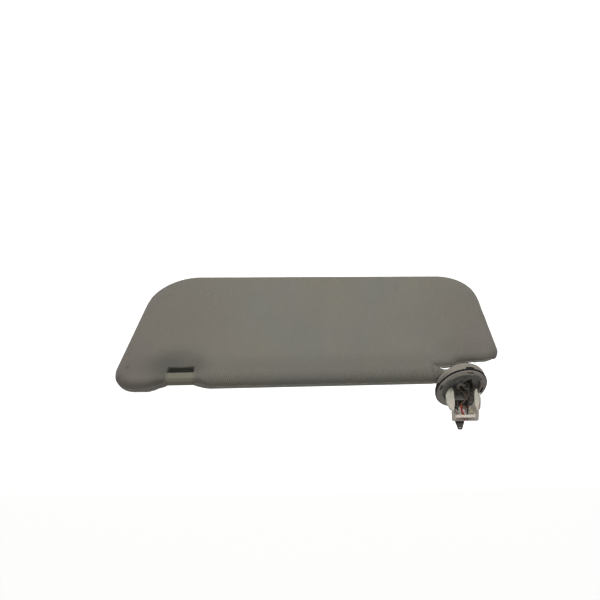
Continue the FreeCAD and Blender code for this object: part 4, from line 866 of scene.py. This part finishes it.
def add_collar(material):
    """A short gathered cone of the panel's cloth, turned about the rod's axis."""
    inner = [(x, COLLAR_BORE) for x, _ in reversed(COLLAR)]
    profile = list(COLLAR) + inner
    verts = []
    for k in range(COLLAR_STEPS):
        angle = 2 * math.pi * k / COLLAR_STEPS
        for i, (x, radius) in enumerate(profile):
            if 0 < i < len(COLLAR) - 2:
                radius += 0.14 * math.sin(16 * angle + 0.6 * math.sin(3 * angle))
            verts.append((x * MM, radius * math.cos(angle) * MM,
                          (ROD_Z + radius * math.sin(angle)) * MM))
    mesh = bpy.data.meshes.new("cloth_collar")
    mesh.from_pydata(verts, [], ring_faces(COLLAR_STEPS, len(profile)))
    facing_out(mesh)
    collar = placed("cloth_collar", mesh)
    smooth_by_angle(mesh, 50.0)
    mesh.materials.append(material)
    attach(collar, "panel")


def add_panel():
    source = panel_mesh()
    knit = fabric_material("knit_front", -1)
    add_collar(knit)
    front = half_panel(source, "cloth_front_skin", -1, knit)
    rear = half_panel(source, "cloth_rear_skin", 1, fabric_material("knit_rear", 1))
    bpy.data.meshes.remove(source)
    seam = add_seam(seam_material())
    for piece, node in ((front, "cloth_front"), (rear, "cloth_rear")):
        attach(piece, "panel")
        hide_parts(node)
    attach(seam, "panel")


# Mount's dome

DOME_RADIUS = 29.5
DOME_RIM = -2.9
DOME_HEIGHT = 20.0
DOME_SHOULDER = 13.0
DOME_WALL = 2.2
RIM_ROUND = 0.5
DOME_LEAN = 3.2
DOME_DRAW = 2.4
DOME_WINDOWS = ((-22.5, 6.0), (-112.0, 10.2), (67.0, 8.0), (157.0, 8.0))
WINDOW_LOW = -5.5
RING_TOP = -0.9
WELL_RADIUS = 9.4
WELL_WALL = 0.9
WELL_FLOOR = -14.2
WELL_BORE = 5.4


def turned(name, profile, steps=144, windows=()):
    """A closed turned solid from (radius, z, lean) points, in the mount's tilted frame.

    Each window is (middle, half width) in degrees and lowers the rim there.
    """
    verts = []
    for k in range(steps):
        degrees = 360 * k / steps
        angle = math.radians(degrees)
        open_here = any(abs((degrees - middle + 180) % 360 - 180) <= half
                        for middle, half in windows)
        for r, z, lean in profile:
            if open_here and z > WINDOW_LOW:
                z = WINDOW_LOW
            verts.append(((r * math.cos(angle) - DOME_LEAN * lean) * MM, r * MM * math.sin(angle),
                          z * MM))
    mesh = bpy.data.meshes.new(name)
    mesh.from_pydata(verts, [], ring_faces(steps, len(profile)))
    mesh.transform(MOUNT_TURN)
    facing_out(mesh)
    return placed(name, mesh)


def arc(centre_r, centre_z, radius, start, end, steps):
    """Points of a profile's arc, angles in degrees from the radial direction."""
    points = []
    for k in range(steps + 1):
        angle = math.radians(start + (end - start) * k / steps)
        points.append((centre_r + radius * math.cos(angle), centre_z + radius * math.sin(angle)))
    return points


def smooth_by_angle(mesh, angle=35.0):
    for polygon in mesh.polygons:
        polygon.use_smooth = True
    work = bmesh.new()
    work.from_mesh(mesh)
    limit = math.radians(angle)
    for edge in work.edges:
        edge.smooth = len(edge.link_faces) == 2 and edge.calc_face_angle(0.0) < limit
    work.to_mesh(mesh)
    work.free()


def add_dome(material):
    shoulder_r = DOME_RADIUS - DOME_SHOULDER
    shoulder_z = DOME_SHOULDER - DOME_HEIGHT
    inner = DOME_SHOULDER - DOME_WALL
    outside = arc(DOME_RADIUS - RIM_ROUND, DOME_RIM - RIM_ROUND, RIM_ROUND, 90, 0, 4)
    outside += [(DOME_RADIUS, WINDOW_LOW - 0.2)]
    outside += arc(shoulder_r, shoulder_z, DOME_SHOULDER, 0, -90, 16)
    well = arc(WELL_RADIUS + 1.0, -DOME_HEIGHT + 1.0, 1.0, -90, -180, 5)
    well += [(WELL_RADIUS, WELL_FLOOR), (WELL_BORE, WELL_FLOOR)]
    well += [(WELL_BORE, WELL_FLOOR + WELL_WALL), (WELL_RADIUS + WELL_WALL, WELL_FLOOR + WELL_WALL)]
    well += [(WELL_RADIUS + WELL_WALL, -DOME_HEIGHT + WELL_WALL)]
    inside = arc(shoulder_r, shoulder_z, inner, -90, 0, 10)
    inside += [(DOME_RADIUS - DOME_WALL, z) for z in (WINDOW_LOW - 0.2, DOME_RIM)]
    profile = []
    for run, follows in ((outside, True), (well, False), (inside, True)):
        for r, z in run:
            share = (DOME_RIM - z) / (DOME_HEIGHT + DOME_RIM)
            lean = min(max(share, 0.0), 1.0) if follows else 0.0
            profile.append((r - DOME_DRAW * lean, z, lean))
    dome = turned("bezel_dome_smooth", profile, windows=DOME_WINDOWS)
    smooth_by_angle(dome.data)
    dome.data.materials.append(material)
    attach(dome, "mount")
    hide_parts("bezel_dome")


def add_ring(material):
    """The black seal, as thick as it shows at the rim, and dark behind the rim's windows."""
    outer = DOME_RADIUS + 0.25
    inner = DOME_RADIUS - 3.2
    skirt = WINDOW_LOW - 0.4
    profile = arc(outer - RIM_ROUND, RING_TOP - RIM_ROUND, RIM_ROUND, 90, 0, 3)
    profile += [(outer, DOME_RIM), (DOME_RADIUS - 0.6, DOME_RIM), (DOME_RADIUS - 0.6, skirt)]
    profile += [(DOME_RADIUS - DOME_WALL - 0.4, skirt), (inner, DOME_RIM), (inner, RING_TOP)]
    ring = turned("rim_gasket_thick", [(r, z, 0.0) for r, z in profile])
    smooth_by_angle(ring.data)
    ring.data.materials.append(material)
    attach(ring, "mount")
    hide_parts("rim_gasket")


# clip wings as they show from the front: (x, z)
WINGS = (
    ((13.2, 5.1), (16.4, 10.8), (18.6, 17.1), (18.0, 23.5), (16.0, 31.0), (13.6, 36.5),
     (12.2, 37.4), (10.1, 37.4), (8.8, 27.2), (9.0, 23.7), (9.4, 9.4), (11.0, 5.6)),
    ((-14.7, 9.0), (-17.6, 15.1), (-18.9, 21.1), (-18.0, 26.8), (-16.5, 33.0),
     (-16.2, 37.4), (-13.8, 37.4), (-12.6, 29.1), (-12.4, 20.7), (-13.0, 11.5)),
)
WING_FRONT = -9.5
WING_BACK = -8.5
CLIP_ROOT = -0.7
CLIP_SLANT = 0.97
CLIP_SIDE = -19.4


def add_wings(material):
    for number, outline in enumerate(WINGS):
        count = len(outline)
        verts = [(x * MM, y * MM, z * MM) for y in (WING_FRONT, WING_BACK) for x, z in outline]
        faces = [tuple(range(count)), tuple(range(2 * count - 1, count - 1, -1))]
        faces += [(i, count + i, count + (i + 1) % count, (i + 1) % count)
                  for i in range(count)]
        mesh = bpy.data.meshes.new("clip_wing")
        mesh.from_pydata(verts, [], faces)
        facing_out(mesh)
        wing = placed(f"clip_wing_{number + 1}", mesh)
        bevel = wing.modifiers.new("edges", "BEVEL")
        bevel.width = 0.3 * MM
        bevel.segments = 2
        mesh.materials.append(material)
        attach(wing, "mount")


def add_clip(material):
    """The white clip, its walls' roots cut back at a slant."""
    work = bmesh.new()
    work.from_mesh(NODES["snap_clip"].data)
    work.transform(NODES["snap_clip"].matrix_world)
    root = (Vector((0, 0, CLIP_ROOT)) * MM, -Vector((0, CLIP_SLANT, 1)).normalized())
    flank = (Vector((CLIP_SIDE, 0, 0)) * MM, Vector((-1, 0, 0)))
    for point, way in (root, flank):
        geometry = work.verts[:] + work.edges[:] + work.faces[:]
        cut = bmesh.ops.bisect_plane(work, geom=geometry, dist=1e-6, plane_co=point,
                                     plane_no=way, clear_outer=True)
        rim = [e for e in cut["geom_cut"]
               if isinstance(e, bmesh.types.BMEdge) and e.is_valid]
        bmesh.ops.holes_fill(work, edges=rim)
    mesh = bpy.data.meshes.new("snap_clip_trimmed")
    work.to_mesh(mesh)
    work.free()
    clip = placed("snap_clip_trimmed", mesh)
    smooth_by_angle(mesh, 30.0)
    mesh.materials.clear()
    mesh.materials.append(material)
    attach(clip, "mount")
    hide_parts("snap_clip")


# Fine strands of the harness behind the two CAD loops: control points in mm, radius, look
STRANDS = (
    (((-9.5, -3.0, -6.0), (-10.2, -4.5, 3.0), (-9.6, -5.0, 12.0),
      (-6.5, -3.0, 21.5), (-2.5, 0.0, 22.5), (0.5, 2.0, 17.2)), 0.55, "wire_black"),
    (((-10.8, -1.5, -6.0), (-11.6, -3.2, 4.0), (-11.0, -4.0, 14.0),
      (-7.5, -2.5, 24.0), (-4.0, 0.5, 23.0), (-2.5, 2.5, 17.2)), 0.5, "wire_black"),
    (((-8.2, -4.0, -6.0), (-8.6, -5.5, 2.0), (-7.4, -6.0, 10.5),
      (-5.0, -4.0, 18.0), (-1.0, -1.0, 20.0), (2.0, 1.5, 17.2)), 0.5, "brown"),
    (((-12.2, -2.5, -6.0), (-12.6, -4.5, 2.5), (-12.0, -5.6, 11.0),
      (-8.8, -4.2, 20.0), (-5.5, -1.0, 25.0), (-1.2, 3.2, 18.0)), 0.45, "brown"),
    (((-9.0, 0.0, -6.0), (-9.4, -1.5, 5.0), (-8.4, -2.5, 13.5),
      (-4.4, -1.0, 19.0), (0.8, 1.0, 20.5), (4.0, 2.6, 17.2)), 0.5, "wire_black"),
    (((0.6, -1.6, 1.5), (-1.2, -3.6, 6.5), (-4.2, -4.6, 9.5),
      (-6.8, -3.8, 15.0), (-5.2, -1.0, 20.0), (-3.6, 2.6, 17.2)), 0.45, "wire_black"),
    (((8.6, 1.2, 17.0), (9.3, 0.2, 20.0), (7.6, 0.4, 24.5),
      (5.6, 1.6, 28.0)), 1.25, "wire_black"),
)


def add_strands(looks):
    for number, (points, radius, look) in enumerate(STRANDS):
        curve = bpy.data.curves.new("harness_strand", "CURVE")
        curve.dimensions = "3D"
        curve.bevel_depth = radius * MM
        curve.bevel_resolution = 3
        curve.use_fill_caps = True
        line = curve.splines.new("NURBS")
        line.points.add(len(points) - 1)
        for point, place in zip(line.points, points):
            point.co = (*(c * MM for c in place), 1.0)
        line.order_u = 3
        line.use_endpoint_u = True
        line.resolution_u = 10
        strand = placed(f"harness_strand_{number + 1}", curve)
        curve.materials.append(looks[look])
        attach(strand, "mount")


add_camera()
add_light()
add_floor()
looks = dress_nodes()
add_panel()
add_dome(looks["dome"])
add_ring(looks["black"])
add_clip(looks["white"])
add_wings(looks["wing"])
add_strands(looks)
